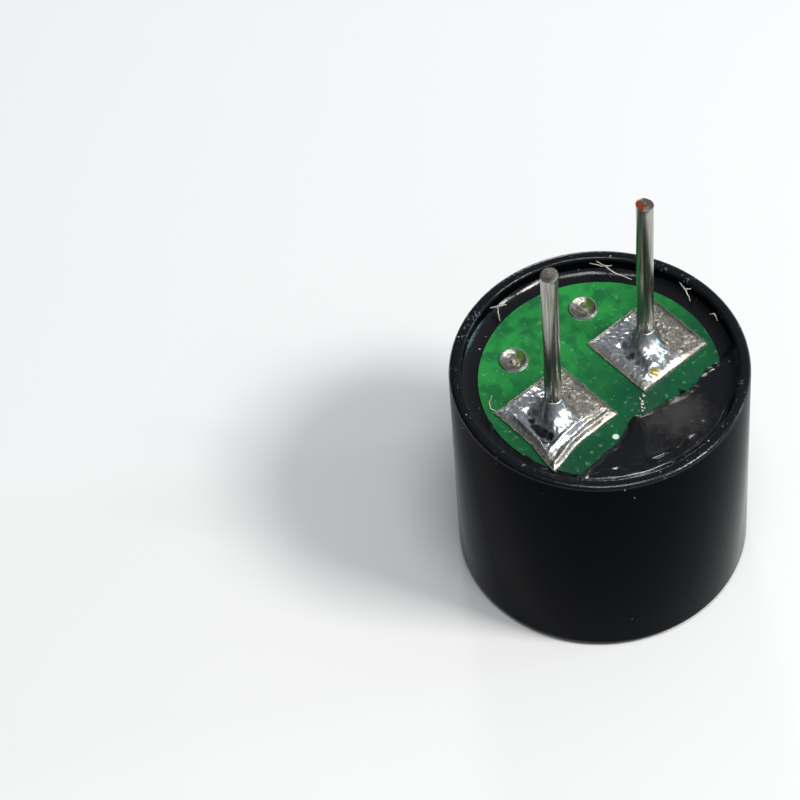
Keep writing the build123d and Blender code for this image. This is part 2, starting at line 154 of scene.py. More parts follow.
class Recipe:
    """One material under construction, with the few patterns that every finish draws on."""

    def __init__(self, name: str) -> None:
        """Starts an empty node tree with Object coordinates.

        Args:
            name: The material's name.
        """
        self.material = bpy.data.materials.new(name)
        self.material.use_nodes = True
        self.tree = self.material.node_tree
        self.tree.nodes.clear()
        self.place = self.add("TexCoord").outputs["Object"]

    def add(
        self,
        kind: str,
        settings: dict[str | int, Any] | None = None,
        links: dict[str | int, Socket] | None = None,
    ) -> bpy.types.Node:
        """Adds a node to this material."""
        return add_node(self.tree, kind, settings, links)

    def axis(self, letter: str) -> Socket:
        """Gives one Object coordinate, in metres."""
        return self.add("SeparateXYZ", links={0: self.place}).outputs[letter.upper()]

    def stretched(self, scale: tuple[float, float, float]) -> Socket:
        """Gives the Object coordinates with a stretch along each axis."""
        return self.add("Mapping", {"Scale": scale}, {"Vector": self.place}).outputs[0]

    def cloud(
        self, size: float, detail: float = 3.0, place: Socket | None = None, offset: float = 0.0,
    ) -> Socket:
        """Gives soft noise from 0 to 1.

        Args:
            size: Width of one feature in millimetres.
            detail: Octaves of finer noise.
            place: Coordinates to read, or None for Object coordinates.
            offset: Slides the pattern, so that two clouds of one size differ.

        Returns:
            An output from 0 to 1.
        """
        settings = {"noise_dimensions": "4D", "Scale": grain(size), "Detail": detail, "W": offset}
        return self.add("TexNoise", settings, {"Vector": place or self.place}).outputs["Fac"]

    def window(self, value: Socket, low: float, high: float) -> Socket:
        """Gives 0 below low and 1 above high, or the reverse where low is the larger.

        Args:
            value: The output to read.
            low: Where the result is 0.
            high: Where the result is 1.

        Returns:
            An output that rises or falls smoothly between the two.
        """
        settings = {"clamp": True, "interpolation_type": "SMOOTHSTEP"}
        if low < high:
            settings |= {"From Min": low, "From Max": high, "To Min": 0.0, "To Max": 1.0}
        else:
            settings |= {"From Min": high, "From Max": low, "To Min": 1.0, "To Max": 0.0}
        return self.add("MapRange", settings, {"Value": value}).outputs["Result"]

    def span(self, value: Socket, low: float, high: float) -> Socket:
        """Spreads a value from 0 to 1 over another range."""
        settings = {"To Min": low, "To Max": high}
        return self.add("MapRange", settings, {"Value": value}).outputs["Result"]

    def join(self, how: Mixing, first: Socket, second: Socket | float) -> Socket:
        """Joins two values.

        Args:
            how: What is done with them.
            first: An output.
            second: An output or a number.

        Returns:
            The joined output.
        """
        if isinstance(second, float):
            return self.add("Math", {"operation": how.value, 1: second}, {0: first}).outputs[0]
        return self.add("Math", {"operation": how.value}, {0: first, 1: second}).outputs[0]

    def times(self, first: Socket, second: Socket | float) -> Socket:
        """Multiplies two values."""
        return self.join(Mixing.MULTIPLY, first, second)

    def single(self, operation: str, value: Socket) -> Socket:
        """Gives the ABSOLUTE or the SIGN of a value."""
        return self.add("Math", {"operation": operation}, {0: value}).outputs[0]

    def blend(self, share: Socket, first: Socket | str, second: Socket | str) -> Socket:
        """Mixes two colours, each an output or a hex code, by a share from 0 to 1.

        Args:
            share: Share of the second colour.
            first: Colour at a share of 0.
            second: Colour at a share of 1.

        Returns:
            The mixed colour.
        """
        settings: dict[str | int, Any] = {"data_type": "RGBA"}
        links: dict[str | int, Socket] = {0: share}
        for key, colour in ((6, first), (7, second)):
            if isinstance(colour, str):
                settings[key] = linear(colour)
            else:
                links[key] = colour
        return self.add("Mix", settings, links).outputs[2]

    def specks(self, spacing: float, radius: float, share: float, offset: float = 0.0) -> Socket:
        """Gives scattered round specks.

        Args:
            spacing: Cell width in millimetres.
            radius: Radius of a speck in millimetres.
            share: Share of the cells that hold a speck.
            offset: Slides the pattern, so that two kinds of speck differ.

        Returns:
            An output that is 1 on a speck and 0 elsewhere.
        """
        slide = {"Location": (offset, offset, offset)}
        moved = self.add("Mapping", slide, {"Vector": self.place}).outputs[0]
        cells = self.add("TexVoronoi", {"Scale": grain(spacing)}, {"Vector": moved})
        spot = self.window(cells.outputs["Distance"], radius / spacing, 0.5 * radius / spacing)
        pick = self.add("SeparateColor", links={0: cells.outputs["Color"]}).outputs[0]
        return self.times(spot, self.window(pick, 1 - share, 1 - 0.9 * share))

    def near(self, x: float, y: float, radius: float, soft: float) -> Socket:
        """Gives a ragged patch: 1 within a radius of a place on the board, 0 beyond a soft edge.

        Args:
            x: Place along X in millimetres.
            y: Place along Y in millimetres.
            radius: Radius in millimetres.
            soft: Width of the soft edge in millimetres.

        Returns:
            An output from 0 to 1.
        """
        flat = self.stretched((1, 1, 0))
        middle = {"operation": "DISTANCE", 1: (x * MM, y * MM, 0)}
        away = self.add("VectorMath", middle, {0: flat}).outputs["Value"]
        ragged = self.times(self.cloud(0.3, 3.0, offset=8.0), soft * MM)
        return self.window(self.join(Mixing.ADD, away, ragged), (radius + soft) * MM, radius * MM)

    def bump(
        self, height: Socket, depth: float, strength: float = 1.0, base: Socket | None = None,
    ) -> Socket:
        """Turns a height pattern into a normal, on top of another where one is given.

        Args:
            height: The pattern, from 0 to 1.
            depth: Its full height in millimetres.
            strength: Share of it that shows.
            base: A normal that it builds on.

        Returns:
            The bumped normal.
        """
        links = {"Height": height} | ({"Normal": base} if base else {})
        return self.add("Bump", {"Distance": depth * MM, "Strength": strength}, links).outputs[0]

    def finish(
        self,
        colour: Socket | str,
        roughness: Socket | float,
        normal: Socket | None = None,
        settings: dict[str | int, Any] | None = None,
        extra: dict[str, Socket] | None = None,
    ) -> bpy.types.Material:
        """Ends the material in a Principled shader.

        Args:
            colour: Base colour, an output or a hex code.
            roughness: An output or a number.
            normal: The bumped normal, if there is one.
            settings: Other shader sockets, which are the same all over the surface.
            extra: Further sockets that vary over the surface.

        Returns:
            The finished material.
        """
        values = dict(settings or {})
        links: dict[str | int, Socket] = dict(extra or {})
        if isinstance(colour, str):
            values["Base Color"] = linear(colour)
        else:
            links["Base Color"] = colour
        if isinstance(roughness, float):
            values["Roughness"] = roughness
        else:
            links["Roughness"] = roughness
        if normal:
            links["Normal"] = normal
        shader = self.add("BsdfPrincipled", values, links)
        self.add("OutputMaterial", links={"Surface": shader.outputs[0]})
        return self.material


@dataclass(frozen=True)
class MouldedAbs:
    """Black ABS, injection moulded: polished on the wall, spark-eroded on the sound face, with painted
    glints there.

    The low index keeps the wall nearly black. A clear coat that is held to the rim and the sound
    face gives these two their sheen. The real grain is too fine to show, so it is drawn coarser.
    """

    body: str = "#06080D"
    worn: str = "#8B93A0"
    dust: str = "#D6D8DA"
    gloss: float = 0.1
    face_roughness: float = 0.42
    rim_roughness: float = 0.24
    texture_grain: float = 0.11
    index: float = 1.07
    rim_coat: float = 0.8
    face_coat: float = 0.5
    coat_roughness: float = 0.2
    rim_z: float = 11.0

    def near_rim(self, mix: Recipe, low: float, high: float) -> Socket:
        """Gives 0 at one depth below the rim and 1 at a smaller one."""
        return mix.window(mix.axis("z"), (self.rim_z - low) * MM, (self.rim_z - high) * MM)

    def colour(self, mix: Recipe, face: Socket, rim: Socket) -> Socket:
        """Gives black with scuffs along the rim, dust in the mouth and painted glints on the sound face.

        Args:
            mix: The material under construction.
            face: 1 on the sound face, 0 elsewhere.
            rim: 1 at the rim, 0 below it.

        Returns:
            The base colour.
        """
        scuffs = mix.window(mix.cloud(0.13, 4.0), 0.56, 0.66)
        patches = mix.window(mix.cloud(1.1, 3.0, offset=4.0), 0.5, 0.62)
        worn = mix.times(mix.times(scuffs, patches), rim)
        dust = mix.times(mix.specks(0.3, 0.04, 0.16), self.near_rim(mix, 1.3, 0.5))
        dust = mix.join(Mixing.MAXIMUM, dust, mix.times(mix.specks(1.1, 0.035, 0.12, 0.31), 0.6))
        # Painted glints: pale specks in the worn colour on the sound face.
        painted_glints = mix.times(mix.specks(0.26, 0.04, 0.2, 0.17), face)
        colour = mix.blend(mix.times(worn, 0.6), self.body, self.worn)
        colour = mix.blend(mix.times(dust, 0.85), colour, self.dust)
        return mix.blend(mix.times(painted_glints, 0.35), colour, self.worn)

    def relief(self, mix: Recipe, face: Socket, rim: Socket) -> Socket:
        """Gives the face's spark-eroded grain, the rim's nicks and the flow of the plastic.

        Args:
            mix: The material under construction.
            face: 1 on the sound face, 0 elsewhere.
            rim: 1 at the rim, 0 below it.

        Returns:
            The bumped normal.
        """
        spark = mix.times(mix.cloud(self.texture_grain, 3.0), face)
        normal = mix.bump(spark, 0.03, 0.9)
        nicks = mix.times(mix.cloud(0.2, 4.0, offset=6.0), rim)
        normal = mix.bump(nicks, 0.03, 0.6, normal)
        flow = mix.cloud(1.6, 2.0, mix.stretched((1, 1, 0.25)))
        return mix.bump(flow, 0.01, 0.5, normal)

    def make(self) -> bpy.types.Material:
        """Builds the material.

        Returns:
            The finished material.
        """
        mix = Recipe("moulded_black_abs")
        face = mix.window(mix.axis("z"), 0.3 * MM, 0.02 * MM)
        rim = self.near_rim(mix, 0.2, 0.05)
        side = mix.span(mix.cloud(2.2, 3.0, offset=2.0), self.gloss - 0.03, self.gloss + 0.05)
        roughness = mix.join(Mixing.MAXIMUM, side, mix.times(face, self.face_roughness))
        roughness = mix.join(Mixing.MAXIMUM, roughness, mix.times(rim, self.rim_roughness))
        normal = self.relief(mix, face, rim)
        polish = mix.times(self.near_rim(mix, 0.2, 0.06), self.rim_coat)
        polish = mix.join(Mixing.MAXIMUM, polish, mix.times(face, self.face_coat))
        settings = {"IOR": self.index, "Coat Roughness": self.coat_roughness}
        extra = {"Coat Weight": polish, "Coat Normal": normal}
        return mix.finish(self.colour(mix, face, rim), roughness, normal, settings, extra)


@dataclass(frozen=True)
class PadPrint:
    """Light grey ink, pad printed: matt, thin, and a little worn where the texture stands up."""

    ink: str = "#9AA0A0"
    worn: str = "#4B4F51"

    def make(self) -> bpy.types.Material:
        """Builds the material.

        Returns:
            The finished material.
        """
        mix = Recipe("pad_printed_grey_ink")
        wear = mix.window(mix.cloud(0.12, 4.0), 0.52, 0.68)
        colour = mix.blend(mix.times(wear, 0.8), self.ink, self.worn)
        normal = mix.bump(mix.cloud(0.1, 3.0, offset=3.0), 0.02, 0.8)
        return mix.finish(colour, mix.span(wear, 0.55, 0.7), normal)


@dataclass(frozen=True)
class SolderMask:
    """Green solder mask, cured over glass epoxy: glossy and wavy, with painted light that makes it lighter
    towards +Y and a little towards +X.
    """

    bright: str = "#2A9A45"
    middle: str = "#0E5835"
    deep: str = "#08482C"
    edge: str = "#5F7B3D"
    speck: str = "#A8DFB0"
    stain: str = "#12483F"
    bare: str = "#D5EFE0"
    dark_patch: Point = (-0.64, 3.7)
    bare_dot: Point = (-1.56, -2.58)
    board_top: float = 10.3

    def make(self) -> bpy.types.Material:
        """Builds the material.

        Returns:
            The finished material.
        """
        mix = Recipe("green_solder_mask")
        drift = mix.cloud(2.6, 3.0, offset=1.0)
        x, y = mix.axis("x"), mix.axis("y")
        # Painted light: a ramp that lightens the green towards +Y and a little towards +X, between the deep
        # and bright tones, with a random drift of tone on top.
        slope = mix.join(Mixing.ADD, mix.times(x, 0.012 / MM), mix.times(y, 0.11 / MM))
        light = mix.window(mix.join(Mixing.ADD, slope, drift), 0.15, 1.1)
        colour = mix.blend(light, self.deep, self.bright)
        mottle = mix.window(mix.cloud(0.6, 5.0, offset=7.0), 0.42, 0.62)
        colour = mix.blend(mix.times(mottle, 0.65), colour, self.middle)
        pale = mix.window(mix.cloud(0.24, 4.0, offset=15.0), 0.58, 0.72)
        colour = mix.blend(mix.times(pale, 0.2), colour, self.speck)
        stain = mix.window(mix.cloud(0.9, 4.0, offset=12.0), 0.63, 0.72)
        stain = mix.join(Mixing.MAXIMUM, stain, mix.near(*self.dark_patch, 0.16, 0.3))
        colour = mix.blend(mix.times(stain, 0.55), colour, self.stain)
        dots = mix.join(Mixing.MAXIMUM, mix.specks(0.22, 0.03, 0.1), mix.specks(0.62, 0.06, 0.16, 0.23))
        colour = mix.blend(mix.times(dots, 0.42), colour, self.speck)
        colour = mix.blend(mix.near(*self.bare_dot, 0.13, 0.05), colour, self.bare)
        side = mix.window(mix.axis("z"), (self.board_top - 0.015) * MM, (self.board_top - 0.06) * MM)
        colour = mix.blend(side, colour, self.edge)
        roughness = mix.span(mix.cloud(0.9, 4.0, offset=5.0), 0.14, 0.34)
        normal = mix.bump(mix.cloud(1.1, 3.0, offset=9.0), 0.06, 0.6)
        normal = mix.bump(mix.cloud(0.14, 3.0, offset=8.0), 0.012, 0.6, normal)
        return mix.finish(colour, roughness, normal, {"Specular IOR Level": 0.4})


@dataclass(frozen=True)
class StainAndReflection:
    """A patch of colour at a place on the board, which serves for real flux stains and for painted
    reflections.
    """

    x: float
    y: float
    radius: float
    colour: str


@dataclass(frozen=True)
class HandSolder:
    """Tin solder, flowed by hand: bright where it froze fast, dull and mottled where it cooled slowly.

    The crystals that make it dull are too fine to show, so their grit is drawn coarser.
    """

    name: str = "hand_flowed_tin_solder"
    bright: str = "#D2D5D7"
    dull: str = "#B3AEA2"
    pit: str = "#4A4742"
    tarnish: str = "#6E7378"
    pin_x: float = 2.5
    pad_y: float = -0.12
    half_length: float = 1.75
    half_width: float = 1.65
    frost_from: float = 0.05
    frost_to: float = 0.55
    border: float = 0.85
    smoothness: float = 0.28
    frosted: float = 0.42
    # Patches on the pads: an olive flux stain on the plus pad; near-black and dark grey patches left of the
    # minus pin, which are painted dark reflections; dark grey patches left of the plus pin; and a small dark
    # spot right of the minus pin.
    stains_and_reflections: tuple[StainAndReflection, ...] = (
        StainAndReflection(1.62, -1.45, 0.2, "#8E8133"),
        StainAndReflection(-3.34, 0.55, 0.1, "#3A3B3F"),
        StainAndReflection(-3.5, 0.2, 0.2, "#141518"),
        StainAndReflection(-3.6, -0.15, 0.26, "#101114"),
        StainAndReflection(-3.62, -0.5, 0.28, "#101114"),
        StainAndReflection(-3.5, -0.9, 0.2, "#17181B"),
        StainAndReflection(1.5, 0.1, 0.12, "#4C5058"),
        StainAndReflection(1.5, -0.2, 0.22, "#3A3D44"),
        StainAndReflection(1.48, -0.6, 0.16, "#4C5058"),
        StainAndReflection(-1.75, -0.1, 0.08, "#222326"),
    )

    def frost(self, mix: Recipe) -> Socket:
        """Gives 1 where the solder froze dull: on each pad's right half and along its border.

        Args:
            mix: The material under construction.

        Returns:
            An output from 0 to 1.
        """
        x = mix.axis("x")
        centre = mix.times(mix.single("SIGN", x), -self.pin_x * MM)
        beside = mix.times(mix.join(Mixing.ADD, x, centre), 1 / MM)
        drift = mix.span(mix.cloud(0.8, 3.0, offset=3.0), -0.9, 0.9)
        frost = mix.window(mix.join(Mixing.ADD, beside, drift), self.frost_from, self.frost_to)
        y = mix.join(Mixing.ADD, mix.axis("y"), -self.pad_y * MM)
        across = mix.single("ABSOLUTE", mix.times(beside, 1 / self.half_length))
        along = mix.single("ABSOLUTE", mix.times(y, 1 / (self.half_width * MM)))
        border = mix.window(mix.join(Mixing.MAXIMUM, across, along), 0.84, 0.93)
        return mix.join(Mixing.MAXIMUM, frost, mix.times(border, self.border))

    def make(self) -> bpy.types.Material:
        """Builds the material.

        Returns:
            The finished material.
        """
        mix = Recipe(self.name)
        frost = self.frost(mix)
        colour = mix.blend(frost, self.bright, self.dull)
        grit = mix.cloud(0.085, 5.0)
        pits = mix.times(mix.window(grit, 0.54, 0.64), mix.span(frost, 0.12, 0.85))
        colour = mix.blend(pits, colour, self.pit)
        tarnish = mix.window(mix.cloud(0.5, 4.0, offset=21.0), 0.5, 0.64)
        colour = mix.blend(mix.times(tarnish, 0.3), colour, self.tarnish)
        metal: Socket | None = None
        # Each patch is painted into the colour and dulls the metal, for a real flux stain and for a painted
        # reflection alike.
        for stain in self.stains_and_reflections:
            stain_and_reflection_mask = mix.near(stain.x, stain.y, stain.radius, 0.2)
            colour = mix.blend(stain_and_reflection_mask, colour, stain.colour)
            dull = mix.span(stain_and_reflection_mask, 1.0, 0.2)
            metal = mix.times(metal, dull) if metal else dull
        smoothness = mix.span(frost, self.smoothness, self.frosted)
        roughness = mix.join(Mixing.MAXIMUM, smoothness, mix.span(grit, 0.05, 0.25))
        relief = mix.times(grit, mix.span(frost, 0.25, 1.0))
        normal = mix.bump(mix.cloud(0.34, 3.0, offset=6.0), 0.02, 0.5)
        normal = mix.bump(relief, 0.02, 0.7, normal)
        return mix.finish(colour, roughness, normal, extra={"Metallic": metal})


@dataclass(frozen=True)
class TinnedWire:
    """Tinned copper wire: drawn, so faint streaks run along it, and bare copper where it was sheared.

    The real drawing lines are too fine to show, so they are drawn coarser.
    """

    tin: str = "#BDBDB4"
    shade: str = "#74756C"
    copper: str = "#B4502F"
    film: str = "#A3A58F"
    tip_z: float = 18.9

    def make(self) -> bpy.types.Material:
        """Builds the material.

        Returns:
            The finished material.
        """
        mix = Recipe("tinned_copper_wire")
        lines = mix.cloud(0.07, 3.0, mix.stretched((1, 1, 0.03)))
        blotch = mix.cloud(0.9, 3.0, mix.stretched((1, 1, 0.4)), 2.0)
        colour = mix.blend(mix.window(lines, 0.3, 0.75), self.tin, self.shade)
        colour = mix.blend(mix.times(mix.window(blotch, 0.5, 0.75), 0.5), colour, self.film)
        tip = mix.window(mix.axis("z"), (self.tip_z - 0.12) * MM, (self.tip_z - 0.03) * MM)
        patch = mix.window(mix.cloud(0.3, 2.0, offset=5.0), 0.47, 0.56)
        colour = mix.blend(mix.times(tip, patch), colour, self.copper)
        roughness = mix.join(Mixing.MAXIMUM, mix.span(lines, 0.12, 0.3), mix.times(tip, 0.45))
        normal = mix.bump(lines, 0.006, 0.5)
        normal = mix.bump(blotch, 0.02, 0.4, normal)
        return mix.finish(colour, roughness, normal, {"Metallic": 1.0})


@dataclass(frozen=True)
class CastEpoxy:
    """Black epoxy, poured and cured: smooth and semi-gloss, with a painted brownish sheen near the broken
    side and a few grains of dust.
    """

    body: str = "#0B0D11"
    painted_sheen: str = "#454241"
    dust: str = "#B4B6BA"
    chip: str = "#D5D3C8"
    painted_sheen_middle: Point = (0.9, -3.5)
    chip_place: Point = (3.02, -2.86)

    def make(self) -> bpy.types.Material:
        """Builds the material.

        Returns:
            The finished material.
        """
        mix = Recipe("cast_black_epoxy")
        uneven = mix.span(mix.cloud(0.9, 3.0, offset=6.0), 0.3, 1.0)
        # Painted sheen: a warm grey patch near the break, where the epoxy is also rougher.
        painted_sheen = mix.times(mix.near(*self.painted_sheen_middle, 0.9, 1.6), uneven)
        colour = mix.blend(painted_sheen, self.body, self.painted_sheen)
        dust = mix.join(Mixing.MAXIMUM, mix.specks(0.26, 0.026, 0.16), mix.specks(0.7, 0.05, 0.14, 0.4))
        colour = mix.blend(mix.times(dust, 0.8), colour, self.dust)
        colour = mix.blend(mix.near(*self.chip_place, 0.1, 0.12), colour, self.chip)
        roughness = mix.join(Mixing.ADD, mix.span(mix.cloud(0.7, 4.0), 0.08, 0.26), mix.times(painted_sheen, 0.26))
        normal = mix.bump(mix.cloud(0.12, 4.0, offset=2.0), 0.01, 0.5)
        return mix.finish(colour, roughness, normal, {"Specular IOR Level": 0.42})


@dataclass(frozen=True)
class PlainFinish:
    """A finish of one colour with fine variation, for lint and for the pieces that the can hides.

    The variation is coarser than the real grain, so that it shows.
    """

    name: str
    base: str
    shade: str
    roughness: float = 0.4
    metallic: float = 0.0
    size: float = 0.3
    depth: float = 0.01

    def make(self) -> bpy.types.Material:
        """Builds the material.

        Returns:
            The finished material.
        """
        mix = Recipe(self.name)
        cloud = mix.cloud(self.size, 4.0)
        colour = mix.blend(mix.window(cloud, 0.35, 0.7), self.base, self.shade)
        roughness = mix.span(cloud, self.roughness - 0.08, self.roughness + 0.1)
        return mix.finish(colour, roughness, mix.bump(cloud, self.depth, 0.5), {"Metallic": self.metallic})


# Meshes

def make_piece(
    name: str,
    mesh: bmesh.types.BMesh,
    material: bpy.types.Material,
    nodes: Sequence[str] = (),
    smooth_angle: float = 40.0,
) -> bpy.types.Object:
    """Ends a bmesh as a piece that rides on the part, with its material, and hides what it stands for.

    Args:
        name: The piece's name.
        mesh: The finished bmesh in millimetres. It is freed.
        material: Its material.
        nodes: CAD nodes that the piece stands for.
        smooth_angle: Edges sharper than this stay sharp, in degrees.

    Returns:
        The new object.
    """
    bmesh.ops.scale(mesh, vec=(MM, MM, MM), verts=mesh.verts)
    limit = math.radians(smooth_angle)
    for face in mesh.faces:
        face.smooth = True
    for edge in mesh.edges:
        edge.smooth = len(edge.link_faces) == 2 and edge.calc_face_angle(0.0) < limit
    data = bpy.data.meshes.new(name)
    mesh.to_mesh(data)
    mesh.free()
    data.materials.append(material)
    piece = bpy.data.objects.new(name, data)
    bpy.context.scene.collection.objects.link(piece)
    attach(piece, "root")
    if nodes:
        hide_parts(*nodes)
    LOG.info("%s: %d faces", name, len(data.polygons))
    return piece


def spin_round(mesh: bmesh.types.BMesh, steps: int) -> None:
    """Spins all that a mesh holds by a full turn round the Z axis.

    Args:
        mesh: A profile in the plane of X and Z.
        steps: Segments of the full turn.
    """
    bmesh.ops.spin(
        mesh, geom=mesh.verts[:] + mesh.edges[:], cent=(0, 0, 0), axis=(0, 0, 1),
        angle=2 * math.pi, steps=steps, use_merge=True,
    )


def face_up(mesh: bmesh.types.BMesh) -> None:
    """Turns every face of a sheet upward.

    Args:
        mesh: The sheet, with its normals up to date.
    """
    for face in mesh.faces:
        if face.normal.z < 0:
            face.normal_flip()


def extrude_sheet(mesh: bmesh.types.BMesh) -> list[bmesh.types.BMVert]:
    """Extrudes a sheet as one region and gives its new vertices, which still have to be moved."""
    grown = bmesh.ops.extrude_face_region(mesh, geom=mesh.faces[:])["geom"]
    return [item for item in grown if isinstance(item, bmesh.types.BMVert)]


def lathe(profile: Sequence[Point], steps: int) -> bmesh.types.BMesh:
    """Turns a closed profile round the Z axis.

    Args:
        profile: Radius and height of each corner.
        steps: Segments of the full turn.

    Returns:
        The turned bmesh, with its normals outward.
    """
    turned = bmesh.new()
    corners = [turned.verts.new((radius, 0, height)) for radius, height in profile]
    for here, after in zip(corners, corners[1:] + corners[:1]):
        turned.edges.new((here, after))
    spin_round(turned, steps)
    bmesh.ops.recalc_face_normals(turned, faces=turned.faces)
    return turned


def ring_edges(mesh: bmesh.types.BMesh, radius: float, height: float) -> list[bmesh.types.BMEdge]:
    """Finds the edges of the ring at this radius and height.

    Args:
        mesh: A turned bmesh.
        radius: The ring's radius.
        height: The ring's height.

    Returns:
        The ring's edges.
    """
    def on_ring(vertex: bmesh.types.BMVert) -> bool:
        """Tells whether a vertex lies on the ring."""
        beside, above = vertex.co.xy.length - radius, vertex.co.z - height
        return abs(beside) < RING_REACH and abs(above) < RING_REACH

    return [edge for edge in mesh.edges if on_ring(edge.verts[0]) and on_ring(edge.verts[1])]


def round_ring(mesh: bmesh.types.BMesh, radius: float, height: float, size: float, segments: int) -> None:
    """Bevels a ring of a turned mesh.

    Args:
        mesh: The turned bmesh.
        radius: The ring's radius.
        height: The ring's height.
        size: Width of the bevel.
        segments: Faces across the bevel.
    """
    bmesh.ops.bevel(
        mesh, geom=ring_edges(mesh, radius, height), offset=size, segments=segments,
        profile=0.5, affect="EDGES", material=-1,
    )


@dataclass(frozen=True)
class Places:
    """Sizes that every piece shares, most of them read from the frame."""

    can_radius: float
    rim_z: float
    board_radius: float
    board_top: float
    board_bottom: float
    pad_top: float
    tip_z: float
    pin_x: float
    pin_radius: float
    lead_x: float
    lead_y: float
    pad_centre_y: float
    pad_length: float
    pad_width: float
    rim_thickness: float = 0.5
    wall: float = 1.0
    trough_depth: float = 0.95
    face_thickness: float = 1.0
    ledge_z: float = 2.2
    ledge_radius: float = 3.9
    sound_hole_radius: float = 1.2
    face_bevel: float = 0.35

    @property
    def mouth_radius(self) -> float:
        """Inner radius at the mouth."""
        return self.can_radius - self.rim_thickness

    @property
    def pocket_radius(self) -> float:
        """Inner radius beside the board."""
        return self.can_radius - self.wall

    @classmethod
    def from_frame(cls) -> Places:
        """Reads the frame's boxes.

        Returns:
            The shared sizes, in millimetres.
        """
        def span(node: str) -> tuple[Vector, Vector]:
            """Gives a node's corners in millimetres."""
            low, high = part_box(node)
            return low / MM, high / MM

        case, board, pad = span("case"), span("board"), span("pad_plus")
        pin, lead = span("pin_plus"), span("lead_eyelet_plus")
        return cls(
            can_radius=case[1].x, rim_z=case[1].z, board_radius=board[1].x, board_top=board[1].z,
            board_bottom=board[0].z, pad_top=pad[1].z, tip_z=pin[1].z,
            pin_x=(pin[0].x + pin[1].x) / 2, pin_radius=(pin[1].y - pin[0].y) / 2,
            lead_x=(lead[0].x + lead[1].x) / 2, lead_y=(lead[0].y + lead[1].y) / 2,
            pad_centre_y=(pad[0].y + pad[1].y) / 2,
            pad_length=pad[1].x - pad[0].x, pad_width=pad[1].y - pad[0].y,
        )


@dataclass(frozen=True)
class Nick:
    """A splinter missing from the board's broken edge."""

    x: float
    half_width: float
    depth: float


@dataclass(frozen=True)
class BrokenSide:
    """The board's straight side, snapped off its panel: two breaks with a notch between them."""

    line: tuple[Point, ...] = (
        (-6.0, -3.22), (-2.9, -2.9), (-1.62, -2.84), (-0.85, -2.5), (-0.3, -2.36), (0.1, -2.52),
        (0.8, -2.74), (1.5, -2.78), (2.2, -2.95), (2.55, -2.88), (3.2, -2.68), (6.0, -2.62),
    )
    nicks: tuple[Nick, ...] = (Nick(1.12, 0.1, 0.15), Nick(1.86, 0.17, 0.32), Nick(2.42, 0.08, 0.1))
    raggedness: float = 0.05
    calm_share: float = 0.3
    torn_from: float = -0.9
    torn_to: float = 0.3
    teeth: tuple[Wave, ...] = (Wave(1.0, 0.2, 3.1), Wave(0.6, 0.2 / 3, 7.7))

    def y_at(self, x: float) -> float:
        """Gives the break's place in Y at a place in X.

        Args:
            x: Place along X.

        Returns:
            The smooth line's place along Y.
        """
        for (x0, y0), (x1, y1) in zip(self.line, self.line[1:]):
            if x <= x1:
                return y0 + (y1 - y0) * (x - x0) / (x1 - x0)
        return self.line[-1][1]

    def ragged(self, x: float) -> float:
        """Gives the break in Y with its splinters and nicks, which are coarser on the right.

        Args:
            x: Place along X.

        Returns:
            The torn edge's place along Y.
        """
        torn = self.calm_share + (1 - self.calm_share) * smooth(self.torn_from, self.torn_to, x)
        missing = sum(nick.depth * max(0.0, 1 - abs(x - nick.x) / nick.half_width) for nick in self.nicks)
        return self.y_at(x) + self.raggedness * torn * total(self.teeth, x, 0.0) + missing


